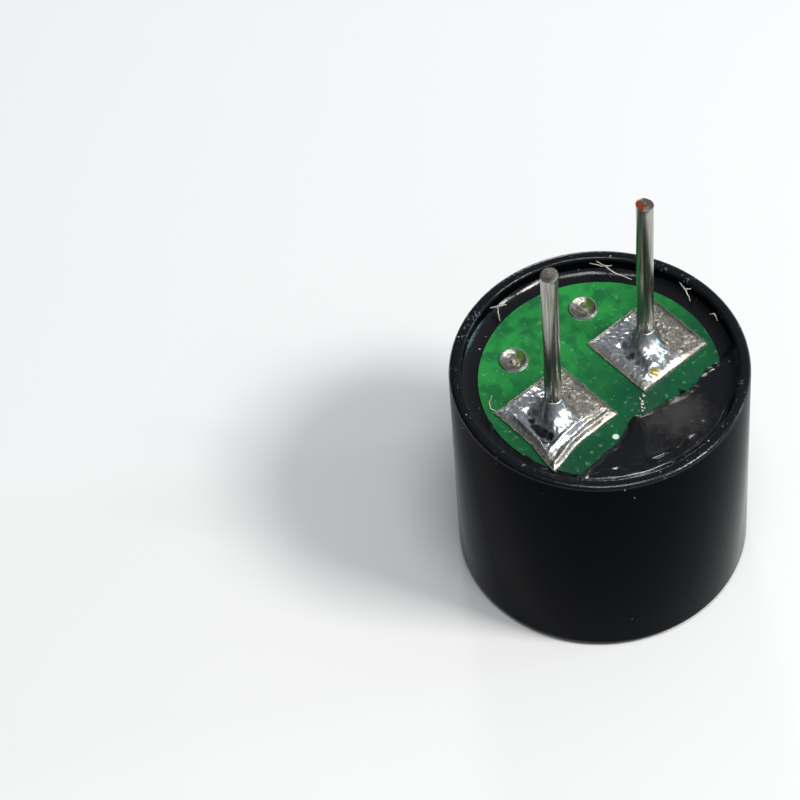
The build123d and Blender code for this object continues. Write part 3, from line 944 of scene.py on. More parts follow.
@dataclass
class Can:
    """The moulded can and the mark printed on its sound face."""

    places: Places
    steps: int = 180
    rim_round: float = 0.2
    mouth_round: float = 0.12
    hole_round: float = 0.08
    outer_segments: int = 4
    inner_segments: int = 3
    rib_count: int = 6
    rib_width: float = 0.9
    rib_depth: float = 0.4
    rib_start: float = 30.0
    mark_offset: float = 4.1
    mark_radius: float = 1.05
    plus_length: float = 1.3
    plus_width: float = 0.36
    print_height: float = 0.03
    print_proud: float = 0.006
    print_segments: int = 96

    def build_shell(self, material: bpy.types.Material) -> None:
        """Turns the cup, rounds its edges and adds the ribs.

        Args:
            material: What the piece is made of.
        """
        p = self.places
        profile = [
            (p.sound_hole_radius, 0), (p.can_radius, 0), (p.can_radius, p.rim_z),
            (p.mouth_radius, p.rim_z), (p.mouth_radius, p.rim_z - p.trough_depth),
            (p.pocket_radius, p.rim_z - p.trough_depth), (p.pocket_radius, p.ledge_z),
            (p.ledge_radius, p.ledge_z), (p.ledge_radius, p.face_thickness),
            (p.sound_hole_radius, p.face_thickness),
        ]
        shell = lathe(profile, self.steps)
        round_ring(shell, p.can_radius, 0, p.face_bevel, self.outer_segments)
        round_ring(shell, p.can_radius, p.rim_z, self.rim_round, self.outer_segments)
        round_ring(shell, p.mouth_radius, p.rim_z, self.mouth_round, self.inner_segments)
        round_ring(shell, p.sound_hole_radius, 0, self.hole_round, self.inner_segments)
        length = self.rib_depth + p.wall / 2
        height = p.board_bottom - p.ledge_z
        middle = p.pocket_radius - self.rib_depth + length / 2
        for i in range(self.rib_count):
            turn = Matrix.Rotation(math.radians(self.rib_start + i * 360 / self.rib_count), 4, "Z")
            rib = turn @ Matrix.Translation((middle, 0, p.ledge_z + height / 2))
            size = Matrix.Diagonal((length, self.rib_width, height, 1))
            bmesh.ops.create_cube(shell, size=1, matrix=rib @ size)
        make_piece("case_shell", shell, material, ["case"])

    def build_mark(self, material: bpy.types.Material) -> None:
        """Prints the disc with its open plus, a hair proud of the sound face.

        Args:
            material: What the piece is made of.
        """
        mark = bmesh.new()
        bmesh.ops.create_circle(
            mark, segments=self.print_segments, radius=self.mark_radius,
            matrix=Matrix.Translation((self.mark_offset, 0, self.print_height)),
        )
        arm, half = self.plus_length / 2, self.plus_width / 2
        quarter = [(arm, -half), (arm, half), (half, half)]
        plus = []
        middle = Vector((self.mark_offset, 0))
        for turn in range(4):
            spin = Matrix.Rotation(turn * math.pi / 2, 2)
            for corner in quarter:
                plus.append(mark.verts.new((*(spin @ Vector(corner) + middle), self.print_height)))
        for here, after in zip(plus, plus[1:] + plus[:1]):
            mark.edges.new((here, after))
        bmesh.ops.triangle_fill(mark, use_beauty=True, use_dissolve=False, edges=mark.edges[:])
        bmesh.ops.recalc_face_normals(mark, faces=mark.faces)
        drop = (0, 0, -self.print_height - self.print_proud)
        bmesh.ops.translate(mark, vec=drop, verts=extrude_sheet(mark))
        bmesh.ops.recalc_face_normals(mark, faces=mark.faces)
        make_piece("polarity_print", mark, material, ["polarity_mark"])


@dataclass
class Board:
    """The circuit board with its broken side, pin holes and plated lead holes."""

    places: Places
    side: BrokenSide
    steps: int = 360
    break_cuts: int = 24
    lead_hole_radius: float = 0.42
    pin_hole_radius: float = 0.45
    hole_segments: int = 48
    corner_gap: float = 0.1

    def build(self, material: bpy.types.Material) -> None:
        """Fills the outline between its holes and gives it its thickness.

        Args:
            material: What the piece is made of.
        """
        p = self.places
        board = bmesh.new()
        level = Matrix.Translation((0, 0, p.board_top))
        bmesh.ops.create_circle(board, segments=self.steps, radius=p.board_radius, matrix=level)
        lost = [v for v in board.verts if v.co.y < self.side.y_at(v.co.x)]
        bmesh.ops.delete(board, geom=lost, context="VERTS")
        ends = sorted((v for v in board.verts if len(v.link_edges) == 1), key=lambda v: v.co.x)
        first, last = ends[0], ends[-1]
        chain = [first]
        reach = p.board_radius - self.corner_gap
        inner = [(x, y) for x, y in self.side.line if math.hypot(x, y) < reach]
        chain += [board.verts.new((x, y, p.board_top)) for x, y in inner]
        chain.append(last)
        breaks = [board.edges.new(pair) for pair in zip(chain, chain[1:])]
        cut = bmesh.ops.subdivide_edges(board, edges=breaks, cuts=self.break_cuts)
        for item in cut["geom_inner"]:
            if isinstance(item, bmesh.types.BMVert):
                item.co.y = self.side.ragged(item.co.x)
        holes = [(s * p.pin_x, 0.0, self.pin_hole_radius) for s in (-1, 1)]
        holes += [(s * p.lead_x, p.lead_y, self.lead_hole_radius) for s in (-1, 1)]
        for x, y, radius in holes:
            place = Matrix.Translation((x, y, p.board_top))
            bmesh.ops.create_circle(board, segments=self.hole_segments, radius=radius, matrix=place)
        bmesh.ops.triangle_fill(board, use_beauty=True, use_dissolve=False, edges=board.edges[:])
        bmesh.ops.recalc_face_normals(board, faces=board.faces)
        bmesh.ops.translate(board, vec=(0, 0, p.board_bottom - p.board_top), verts=extrude_sheet(board))
        bmesh.ops.recalc_face_normals(board, faces=board.faces)
        make_piece("circuit_board", board, material, ["board"])


@dataclass
class Potting:
    """Black epoxy: a ring in the glue trough, and a plug that feathers over the board's broken side.

    It climbs the can's wall, and on the side of the minus pin small tongues of it lie on the board.
    """

    places: Places
    side: BrokenSide
    steps: int = 300
    rings: int = 84
    ring_drop: float = 0.1
    plug_rise: float = 0.2
    feather: float = 0.26
    feather_out: float = 0.364
    torn_from: float = -0.6
    torn_to: float = 0.6
    wander: Wave = Wave(0.1, 0.7, 2.0)
    tears: tuple[Wave, ...] = (Wave(0.06, 0.3, 5.0), Wave(0.03, 0.12, 6.0))
    climb: float = 0.22
    plug_climb: float = 0.2
    climb_width: float = 0.2
    climb_swell: Wave = Wave(0.5, 1.6, 9.0)
    tongue: float = 0.16
    tongue_width: float = 0.16
    tongue_share: float = 0.25
    tongue_swell: Wave = Wave(1.0, 0.5, 12.0)
    messy_from: float = -0.1
    messy_to: float = 0.7
    diagonal: float = 1.42
    surface: Wave = Wave(0.02, 1.1, 4.0)
    overlap: float = 0.5
    floor_z: float = 10.05

    def height(self, x: float, y: float) -> float:
        """Gives the epoxy's surface above the board's face.

        Args:
            x: Place along X.
            y: Place along Y.

        Returns:
            The height, which is below zero in the ring.
        """
        past = self.side.y_at(x) - y
        torn = smooth(self.torn_from, self.torn_to, x)
        past += self.wander.at(x, y) + torn * total(self.tears, x, y)
        plug = smooth(-self.feather, self.feather_out, past)
        level = -self.ring_drop + (self.plug_rise + self.ring_drop) * plug
        radius = math.hypot(x, y)
        near_wall = math.exp(-(self.places.mouth_radius - radius) / self.climb_width)
        swell = 1 + self.climb_swell.at(x, y)
        level += (self.climb + self.plug_climb * plug) * near_wall * swell
        at_rim = math.exp(-(((radius - self.places.board_radius) / self.tongue_width) ** 2))
        leftward = -(x + y) / (self.diagonal * self.places.board_radius)
        messy = smooth(self.messy_from, self.messy_to, leftward)
        level += self.tongue * at_rim * messy * max(0.0, self.tongue_share + self.tongue_swell.at(x, y))
        return level + self.surface.at(x, y)

    def under_board(self, place: Vector) -> bool:
        """Tells whether a place lies well under the board."""
        inside = place.xy.length < self.places.board_radius - self.overlap
        return inside and place.y > self.side.y_at(place.x) + self.overlap

    def build(self, material: bpy.types.Material) -> None:
        """Shapes the surface on a round net, trims it under the board and gives it a body.

        Args:
            material: What the piece is made of.
        """
        p = self.places
        epoxy = bmesh.new()
        net = [epoxy.verts.new((p.mouth_radius * i / self.rings, 0, 0)) for i in range(1, self.rings + 1)]
        for pair in zip(net, net[1:]):
            epoxy.edges.new(pair)
        spin_round(epoxy, self.steps)
        hidden = [face for face in epoxy.faces if self.under_board(face.calc_center_median())]
        bmesh.ops.delete(epoxy, geom=hidden, context="FACES")
        for vertex in epoxy.verts:
            vertex.co.z = p.board_top + self.height(vertex.co.x, vertex.co.y)
        face_up(epoxy)
        for vertex in extrude_sheet(epoxy):
            vertex.co.z = self.floor_z
        bmesh.ops.recalc_face_normals(epoxy, faces=epoxy.faces)
        make_piece("epoxy_potting", epoxy, material, ["potting"])


@dataclass(frozen=True)
class Bead:
    """A line of solder that froze above its pad, or a furrow where the height is negative."""

    start: Point
    end: Point
    width: float
    height: float
    soft_end: float = 0.2

    def rise(self, u: float, v: float) -> float:
        """Gives the bead's height at a place on the pad.

        Args:
            u: Place along the pad from its centre.
            v: Place across the pad from its centre.

        Returns:
            The height, which fades out past both ends.
        """
        (u0, v0), (u1, v1) = self.start, self.end
        run = math.hypot(u1 - u0, v1 - v0)
        along = ((u - u0) * (u1 - u0) + (v - v0) * (v1 - v0)) / run
        across = ((u - u0) * (v1 - v0) - (v - v0) * (u1 - u0)) / run
        reach = smooth(-self.soft_end, self.soft_end, along)
        reach *= smooth(-self.soft_end, self.soft_end, run - along)
        return self.height * math.exp(-((across / self.width) ** 2)) * reach


@dataclass
class SolderJoint:
    """Solder on one pad: a pillow over the copper, a cone up the pin, and the beads the iron left."""

    name: str
    places: Places
    sign: int
    seed: float
    beads: tuple[Bead, ...] = ()
    spill: float = 0.0
    corner: Point = (0.0, 0.0)
    edge_width: float = 0.3
    layer: float = 0.08
    thinnest: float = 0.012
    pillow: float = 0.12
    pillow_radius: float = 2.0
    cone: float = 0.32
    cone_reach: float = 0.22
    skirt: float = 0.4
    skirt_start: float = 0.2
    skirt_reach: float = 1.15
    skirt_curve: float = 1.3
    flow: Point = (-0.3, -0.95)
    crease: float = 0.014
    crease_pitch: float = 0.26
    crease_radius: float = 0.75
    crease_spread: float = 0.22
    crease_drift: Wave = Wave(0.12, 0.4, 1.0)
    margin: float = 0.35
    bead_margin: float = 0.14
    bend: Wave = Wave(0.05, 0.5, 4.0)
    edge_bend: float = 0.4
    rough_from: float = -0.2
    rough_to: float = 0.5
    rough_edge: Wave = Wave(0.4, 0.8, 9.0)
    swells: tuple[Wave, ...] = (Wave(0.05, 0.9), Wave(0.02, 0.16, 7.0))
    dents: tuple[Wave, ...] = (Wave(0.05, 0.5), Wave(0.015, 0.14, 5.0))
    outline: tuple[Wave, ...] = (Wave(0.025, 0.35, 2.0), Wave(0.02, 0.11, 3.0))
    corner_start: float = 0.3
    foot_spread: float = 1.008
    columns: int = 150

    def height(self, u: float, v: float) -> float:
        """Gives the solder's surface above the pad at a place from the pad's centre.

        Args:
            u: Place along the pad from its centre.
            v: Place across the pad from its centre.

        Returns:
            The height above the copper.
        """
        p = self.places
        half_u, half_v = p.pad_length / 2, p.pad_width / 2
        bent = self.bend.at(u, v, self.seed)
        inward = min(half_u - abs(u), half_v - v, half_v + self.spill + v)
        pin_v = -p.pad_centre_y
        away = math.hypot(u, v - pin_v)
        fade = smooth(0.0, self.margin, inward)
        rough = smooth(self.rough_from, self.rough_to, u + self.rough_edge.at(u, v, self.seed))
        surface = self.layer * math.sqrt(smooth(0.0, self.edge_width, inward + self.edge_bend * bent))
        surface += self.pillow * fade * max(0.0, 1 - (away / self.pillow_radius) ** 2)
        clear = max(away - p.pin_radius, 0.0)
        surface += self.cone * math.exp(-clear / self.cone_reach)
        ahead = max(0.0, (self.flow[0] * u + self.flow[1] * (v - pin_v)) / max(away, 0.01)) ** 2
        skirt_width = self.skirt_start + self.skirt_reach * ahead
        surface += self.skirt * max(0.0, 1 - clear / skirt_width) ** self.skirt_curve
        turns = (away + self.crease_drift.at(u, v, self.seed)) / self.crease_pitch
        ringed = math.exp(-(((away - self.crease_radius) / self.crease_spread) ** 2))
        surface += self.crease * math.cos(2 * math.pi * turns) * ringed * rough * fade
        uneven = total(self.swells, u, v, self.seed) + rough * total(self.dents, u, v, self.seed)
        surface += fade * uneven
        left_over = sum(bead.rise(u, v + bent) for bead in self.beads)
        surface += left_over * smooth(0.0, self.bead_margin, inward)
        return max(surface, self.thinnest)

    def build(self, material: bpy.types.Material) -> None:
        """Raises the surface from a fine net over the pad.

        Args:
            material: What the piece is made of.
        """
        p = self.places
        joint = bmesh.new()
        half_u, half_v = p.pad_length / 2, p.pad_width / 2
        rows = round(self.columns * half_v / half_u)
        bmesh.ops.create_grid(joint, x_segments=self.columns, y_segments=rows, size=1)
        for vertex in joint.verts:
            u, v = vertex.co.x * half_u, vertex.co.y * half_v
            v -= self.spill * smooth(0.0, half_v, -v)
            pull = 1 + total(self.outline, u, v, self.seed) if vertex.is_boundary else 1
            drawn = smooth(-self.corner_start, half_u, -u) * smooth(-self.corner_start, half_v, -v)
            drawn *= drawn
            vertex.co = Vector((
                u * pull + self.corner[0] * drawn,
                v * pull + self.corner[1] * drawn,
                self.height(u, v),
            ))
        grown = bmesh.ops.extrude_edge_only(joint, edges=[e for e in joint.edges if e.is_boundary])["geom"]
        foot = [item for item in grown if isinstance(item, bmesh.types.BMVert)]
        level = p.board_top - p.pad_top
        for vertex in foot:
            vertex.co = Vector((vertex.co.x * self.foot_spread, vertex.co.y * self.foot_spread, level))
        bmesh.ops.holes_fill(joint, edges=[e for e in joint.edges if e.is_boundary], sides=0)
        bmesh.ops.recalc_face_normals(joint, faces=joint.faces)
        place = (self.sign * p.pin_x, p.pad_centre_y, p.pad_top)
        bmesh.ops.translate(joint, vec=place, verts=joint.verts)
        stands_for = [f"pin_solder_{self.name}"]
        make_piece(f"solder_joint_{self.name}", joint, material, stands_for, 60.0)


@dataclass
class Pin:
    """One tinned wire pin, a little uneven along its length, with a sheared and burred end."""

    name: str
    places: Places
    sign: int
    seed: float
    segments: int = 56
    rings: int = 90
    shear: float = 9.0
    burr: float = 0.018
    burr_least: float = 0.4
    burr_start: float = 0.22
    burr_full: float = 0.02
    crest: Point = (0.05, 0.012)
    dish: Point = (0.09, -0.008)
    unevenness: float = 0.006
    swells_round: float = 3.0
    swells_along: float = 0.8
    swell_size: float = 1.4
    tail_z: float = 8.9

    def build(self, material: bpy.types.Material) -> None:
        """Draws the wire up from its foot ring by ring and closes both ends.

        Args:
            material: What the piece is made of.
        """
        p = self.places
        wire = bmesh.new()
        made = bmesh.ops.create_circle(wire, segments=self.segments, radius=p.pin_radius - self.unevenness)
        bmesh.ops.translate(wire, vec=(0, 0, self.tail_z), verts=made["verts"])
        edges = wire.edges[:]
        bmesh.ops.holes_fill(wire, edges=edges, sides=0)
        step = (p.tip_z - self.tail_z) / self.rings
        for _ in range(self.rings):
            grown = bmesh.ops.extrude_edge_only(wire, edges=edges)["geom"]
            edges = [item for item in grown if isinstance(item, bmesh.types.BMEdge)]
            risen = [item for item in grown if isinstance(item, bmesh.types.BMVert)]
            bmesh.ops.translate(wire, vec=(0, 0, step), verts=risen)
        cap = bmesh.ops.holes_fill(wire, edges=edges, sides=0)["faces"]
        for width, depth in (self.crest, self.dish):
            bmesh.ops.inset_region(wire, faces=cap, thickness=width, depth=depth)
        slope = math.tan(math.radians(self.shear)) * self.sign
        for vertex in wire.verts:
            x, y, z = vertex.co
            angle = math.atan2(y, x)
            across, along = math.cos(angle), math.sin(angle)
            u, v = self.swells_round * across + self.seed, self.swells_round * along
            swell = self.unevenness * ripple(u, v, self.swell_size, self.swells_along * z)
            near_tip = smooth(p.tip_z - self.burr_start, p.tip_z - self.burr_full, z)
            ragged = self.burr_least + ripple(across, along, 0.5, self.seed)
            spread = self.burr * near_tip * ragged
            out = Vector((x, y)).normalized() if x or y else Vector((0, 0))
            vertex.co.x += out.x * (swell + spread)
            vertex.co.y += out.y * (swell + spread)
            vertex.co.z -= near_tip * (slope * x + abs(slope) * p.pin_radius)
        bmesh.ops.recalc_face_normals(wire, faces=wire.faces)
        bmesh.ops.translate(wire, vec=(self.sign * p.pin_x, 0, 0), verts=wire.verts)
        make_piece(f"wire_pin_{self.name}", wire, material, [f"pin_{self.name}"], 50.0)


@dataclass
class LeadJoint:
    """One plated lead hole: a collar round the hole and a dished drop of solder round the wire's end."""

    name: str
    places: Places
    sign: int
    seed: float
    bore: float = 0.5
    collar: float = 0.62
    collar_height: float = 0.09
    collar_round: float = 0.03
    collar_slope: float = 0.07
    collar_wave: Wave = Wave(0.03, 0.3)
    lip: float = 0.02
    throat: float = 0.04
    throat_drop: float = 0.1
    hole_radius: float = 0.42
    barrel: float = 0.37
    fill_drop: float = 0.17
    fill_lap: float = 0.01
    fill_tilt: float = 0.12
    fill_wave: Wave = Wave(0.04, 0.22)
    wire_bump: float = 0.04
    wire_from: float = 0.1
    wire_to: float = 0.5
    taper: float = 0.74
    tail_z: float = 9.45
    collar_steps: int = 72
    drop_steps: int = 64
    drop_rings: int = 14

    def build_collar(self, material: bpy.types.Material) -> None:
        """Turns the plated barrel with its rounded collar.

        Args:
            material: What the piece is made of.
        """
        p = self.places
        top = p.board_top + self.collar_height
        collar = lathe([
            (self.barrel, self.tail_z), (self.hole_radius, self.tail_z), (self.hole_radius, p.board_top),
            (self.collar, p.board_top), (self.collar - self.collar_round, p.board_top + self.collar_round),
            (self.collar - self.collar_slope, top), (self.bore + self.lip, top),
            (self.bore - self.throat, p.board_top + self.lip), (self.barrel, p.board_top - self.throat_drop),
        ], self.collar_steps)
        for vertex in collar.verts:
            if vertex.co.z > p.board_top:
                vertex.co.z += self.collar_wave.at(vertex.co.x, vertex.co.y, self.seed)
        bmesh.ops.translate(collar, vec=(self.sign * p.lead_x, p.lead_y, 0), verts=collar.verts)
        stands_for = [f"lead_eyelet_{self.name}"]
        make_piece(f"plated_hole_{self.name}", collar, material, stands_for)

    def build_drop(self, material: bpy.types.Material) -> None:
        """Dishes the solder inside the barrel, higher on one side.

        Args:
            material: What the piece is made of.
        """
        p = self.places
        drop = bmesh.new()
        top = p.board_top + self.collar_height
        count = self.drop_rings
        net = [drop.verts.new((self.bore * i / count, 0, top)) for i in range(count + 1)]
        for pair in zip(net, net[1:]):
            drop.edges.new(pair)
        spin_round(drop, self.drop_steps)
        bmesh.ops.remove_doubles(drop, verts=drop.verts, dist=0.0005)
        for vertex in drop.verts:
            x, y, _ = vertex.co
            share = math.hypot(x, y) / self.bore
            level = self.wire_bump * (1 - smooth(self.wire_from, self.wire_to, share)) - self.fill_drop
            level += (self.fill_drop + self.fill_lap) * share ** 2
            level += self.fill_tilt * (y - x) * (1 - share ** 2)
            vertex.co.z += level + self.fill_wave.at(x, y, self.seed)
        drop.normal_update()
        face_up(drop)
        for vertex in extrude_sheet(drop):
            vertex.co = Vector((vertex.co.x * self.taper, vertex.co.y * self.taper, self.tail_z))
        bmesh.ops.recalc_face_normals(drop, faces=drop.faces)
        bmesh.ops.translate(drop, vec=(self.sign * p.lead_x, p.lead_y, 0), verts=drop.verts)
        make_piece(f"lead_drop_{self.name}", drop, material, [f"lead_solder_{self.name}"], 60.0)


@dataclass
class Lint:
    """Pale fibres that cling to the mouth of the can and to the board, each by its places in space."""

    fibres: tuple[tuple[tuple[float, float, float], ...], ...]
    thickness: float = 0.028
    joints: int = 6
    wobble: float = 0.03
    wobble_size: float = 0.12
    sides: int = 6

    def path(self, fibre: Sequence[tuple[float, float, float]]) -> list[Vector]:
        """Walks along one fibre, with small wobbles between its places.

        Args:
            fibre: The places that the fibre runs through.

        Returns:
            The points of its middle line.
        """
        points = []
        for here, after in zip(fibre, fibre[1:]):
            for i in range(self.joints):
                place = Vector(here).lerp(Vector(after), i / self.joints)
                shake = Vector(ripple(place.x, place.y, self.wobble_size, seed) for seed in (1.0, 2.0, 3.0))
                points.append(place + self.wobble * shake)
        return points + [Vector(fibre[-1])]

    def build(self, material: bpy.types.Material) -> None:
        """Sweeps a thin round section along every fibre.

        Args:
            material: What the piece is made of.
        """
        lint = bmesh.new()
        for fibre in self.fibres:
            points = self.path(fibre)
            rings = []
            for i, point in enumerate(points):
                ahead = points[min(i + 1, len(points) - 1)] - points[max(i - 1, 0)]
                turn = ahead.to_track_quat("Z", "Y").to_matrix().to_4x4()
                taper = 0.5 + 0.5 * math.sin(math.pi * i / (len(points) - 1))
                place = Matrix.Translation(point) @ turn
                radius = self.thickness * taper
                made = bmesh.ops.create_circle(lint, segments=self.sides, radius=radius, matrix=place)
                rings.append(made["verts"])
            for low, high in zip(rings, rings[1:]):
                loops = [e for ring in (low, high) for e in {e for v in ring for e in v.link_edges}
                         if e.verts[0] in ring and e.verts[1] in ring]
                bmesh.ops.bridge_loops(lint, edges=loops)
            bmesh.ops.holes_fill(lint, edges=[e for e in lint.edges if e.is_boundary], sides=0)
        bmesh.ops.recalc_face_normals(lint, faces=lint.faces)
        make_piece("lint", lint, material, [], 60.0)


@dataclass
class Splash:
    """Drops of solder that ran off the plus pad towards the notch: place, radius and height of each."""

    places: Places
    drops: tuple[tuple[float, float, float, float], ...]
    lumps: Wave = Wave(0.35, 0.8)
    variety: float = 9.0

    def build(self, material: bpy.types.Material) -> None:
        """Sets a flattened, uneven ball at every place.

        Args:
            material: What the piece is made of.
        """
        splash = bmesh.new()
        for x, y, radius, height in self.drops:
            made = bmesh.ops.create_icosphere(splash, subdivisions=3, radius=1.0)
            for vertex in made["verts"]:
                u, v, w = vertex.co
                swell = 1 + self.lumps.at(u + x * self.variety, v + y * self.variety, w)
                level = self.places.board_top + w * height
                vertex.co = Vector((x + u * radius * swell, y + v * radius * swell, level))
        make_piece("solder_splash", splash, material, [], 80.0)


# Studio

@dataclass(frozen=True)
class Softbox:
    """One area lamp, placed by azimuth, elevation and distance from the can."""

    name: str
    azimuth: float
    elevation: float
    distance: float
    width: float
    height: float
    watts: float
    colour: str = "#FFFFFF"


@dataclass
class Studio:
    """Pale floor, soft lamps and the camera of the photograph."""

    places: Places
    camera_elevation: float = 52.9
    camera_azimuth: float = -37.7
    camera_roll: float = -4.83
    camera_distance: float = 160.0
    focal_pixels: float = 4030.0
    rim_pixel: Point = (599.5, 366.5)
    image_size: float = 800.0
    sensor: float = 36.0
    floor_radius: float = 1500.0
    floor_gap: float = 0.012
    sky_brightest: Point = (50.0, 20.0)
    sky_facing: Point = (-0.7, 0.9)
    sky_level: Point = (0.07, 0.45)
    sky_colour: str = "#E3EAF2"
    lamps: tuple[Softbox, ...] = (
        Softbox("key_softbox", 30.0, 50.0, 260.0, 60.0, 60.0, 0.4, "#FFFDF8"),
        Softbox("top_softbox", -25.0, 78.0, 260.0, 90.0, 90.0, 0.22),
        Softbox("back_light", 145.0, 18.0, 260.0, 40.0, 40.0, 0.09),
        Softbox("right_strip", 60.0, 10.0, 260.0, 30.0, 160.0, 0.15, "#B4DCEE"),
    )

    def direction(self, azimuth: float, elevation: float) -> Vector:
        """Gives the direction from the object towards an azimuth and elevation, in degrees."""
        a, e = math.radians(azimuth), math.radians(elevation)
        return Vector((math.sin(a) * math.cos(e), -math.cos(a) * math.cos(e), math.sin(e)))

    def build_camera(self) -> None:
        """Sets the camera so that the rim's centre lands on its pixel of the photograph."""
        back = self.direction(self.camera_azimuth, self.camera_elevation)
        right = (-back).cross(Vector((0, 0, 1))).normalized()
        up = right.cross(-back)
        roll = math.radians(self.camera_roll)
        right, up = (math.cos(roll) * right + math.sin(roll) * up,
                     -math.sin(roll) * right + math.cos(roll) * up)
        centre = self.image_size / 2
        ray = Vector(((self.rim_pixel[0] - centre) / self.focal_pixels,
                      (centre - self.rim_pixel[1]) / self.focal_pixels, 1.0)).normalized()
        towards = ray.x * right + ray.y * up - ray.z * back
        rim_centre = Vector((0, 0, self.places.rim_z))
        data = bpy.data.cameras.new("camera")
        data.sensor_width = self.sensor
        data.lens = self.focal_pixels * self.sensor / self.image_size
        data.clip_start, data.clip_end = 0.005, 20.0
        camera = bpy.data.objects.new("camera", data)
        turn = Matrix((right, up, back)).transposed().to_4x4()
        camera.matrix_world = Matrix.Translation((rim_centre - self.camera_distance * towards) * MM) @ turn
        bpy.context.scene.collection.objects.link(camera)
        bpy.context.scene.camera = camera

    def build_floor(self) -> None:
        """Lays a pale matt floor just below the sound face."""
        floor = bmesh.new()
        place = Matrix.Translation((0, 0, -self.floor_gap))
        bmesh.ops.create_circle(floor, cap_ends=True, segments=96, radius=self.floor_radius, matrix=place)
        bmesh.ops.scale(floor, vec=(MM, MM, MM), verts=floor.verts)
        data = bpy.data.meshes.new("floor")
        floor.to_mesh(data)
        floor.free()
        mix = Recipe("pale_paper")
        paper = mix.blend(mix.cloud(30.0, 3.0), "#FBFBFB", "#F8F8F8")
        data.materials.append(mix.finish(paper, 0.9, None, {"Specular IOR Level": 0.1}))
        piece = bpy.data.objects.new("floor", data)
        bpy.context.scene.collection.objects.link(piece)

    def build_lamps(self) -> None:
        """Hangs the lamps, each turned to the middle of the can."""
        aim = Vector((0, 0, self.places.rim_z / 2))
        for lamp in self.lamps:
            data = bpy.data.lights.new(lamp.name, "AREA")
            data.shape, data.size, data.size_y = "RECTANGLE", lamp.width * MM, lamp.height * MM
            data.energy, data.color = lamp.watts, linear(lamp.colour)[:3]
            piece = bpy.data.objects.new(lamp.name, data)
            towards = self.direction(lamp.azimuth, lamp.elevation)
            turn = towards.to_track_quat("Z", "Y").to_matrix().to_4x4()
            piece.matrix_world = Matrix.Translation((aim + lamp.distance * towards) * MM) @ turn
            bpy.context.scene.collection.objects.link(piece)

    def build_sky(self) -> None:
        """Gives the sky a soft rise in brightness towards one side."""
        world = bpy.data.worlds.new("sky")
        world.use_nodes = True
        tree = world.node_tree
        tree.nodes.clear()
        look = add_node(tree, "TexCoord").outputs["Generated"]
        compare = {"operation": "DOT_PRODUCT", 1: tuple(self.direction(*self.sky_brightest))}
        facing = add_node(tree, "VectorMath", compare, {0: look}).outputs["Value"]
        (away, towards), (dim, bright) = self.sky_facing, self.sky_level
        rise = {"From Min": away, "From Max": towards, "To Min": dim, "To Max": bright}
        level = add_node(tree, "MapRange", rise, {"Value": facing}).outputs["Result"]
        sky = add_node(tree, "Background", {"Color": linear(self.sky_colour)}, {"Strength": level})
        add_node(tree, "OutputWorld", links={"Surface": sky.outputs[0]})
        bpy.context.scene.world = world

    def build(self) -> None:
        """Builds the whole studio."""
        self.build_camera()
        self.build_floor()
        self.build_lamps()
        self.build_sky()
        bpy.context.scene.view_settings.view_transform = "Standard"


@dataclass
class HiddenPieces:
    """Finishes of the CAD pieces that stay as they are, most of them closed inside the can."""

    finishes: dict[str, PlainFinish] = field(default_factory=lambda: {
        "copper_foil": PlainFinish("tinned_copper_foil", "#C2B9AC", "#A08C74", 0.35, 1.0),
        "brass_sheet": PlainFinish("rolled_brass", "#C8A04E", "#B58B3C", 0.3, 1.0, 0.6),
        "piezo_ceramic": PlainFinish("fired_piezo_ceramic", "#C9C1AC", "#B9B09A", 0.7),
        "silver_film": PlainFinish("fired_silver_film", "#D9D8D2", "#C2C1BA", 0.35, 1.0, 0.12),
        "silicone": PlainFinish("clear_silicone", "#B9BCBC", "#A9ADAE", 0.35),
        "red_insulation": PlainFinish("red_pvc_insulation", "#A8211B", "#8E1814", 0.4),
        "black_insulation": PlainFinish("black_pvc_insulation", "#161616", "#0E0E0E", 0.4),
        "chip_moulding": PlainFinish("moulded_black_compound", "#1B1B1C", "#131314", 0.55, 0.0, 0.08),
        "chip_ceramic": PlainFinish("chip_ceramic", "#A38C6B", "#8F7959", 0.5, 0.0, 0.1),
        "tinned_wire": PlainFinish("tinned_leads", "#C4C4BC", "#9C9C94", 0.3, 1.0),
        "solder": PlainFinish("plated_ends", "#CFCECA", "#A8A6A1", 0.3, 1.0),
    })

    def dress(self) -> None:
        """Gives each CAD node that still shows the finish of its slot."""
        slots = {row["node"]: row["material_slot"] for row in frame["record"]["subparts"]}
        made: dict[str, bpy.types.Material] = {}
        for node, piece in frame["nodes"].items():
            if piece.hide_render:
                continue
            slot = slots[node]
            if slot not in made:
                made[slot] = self.finishes[slot].make()
            piece.data.materials.clear()
            piece.data.materials.append(made[slot])


# Marks of this one buzzer

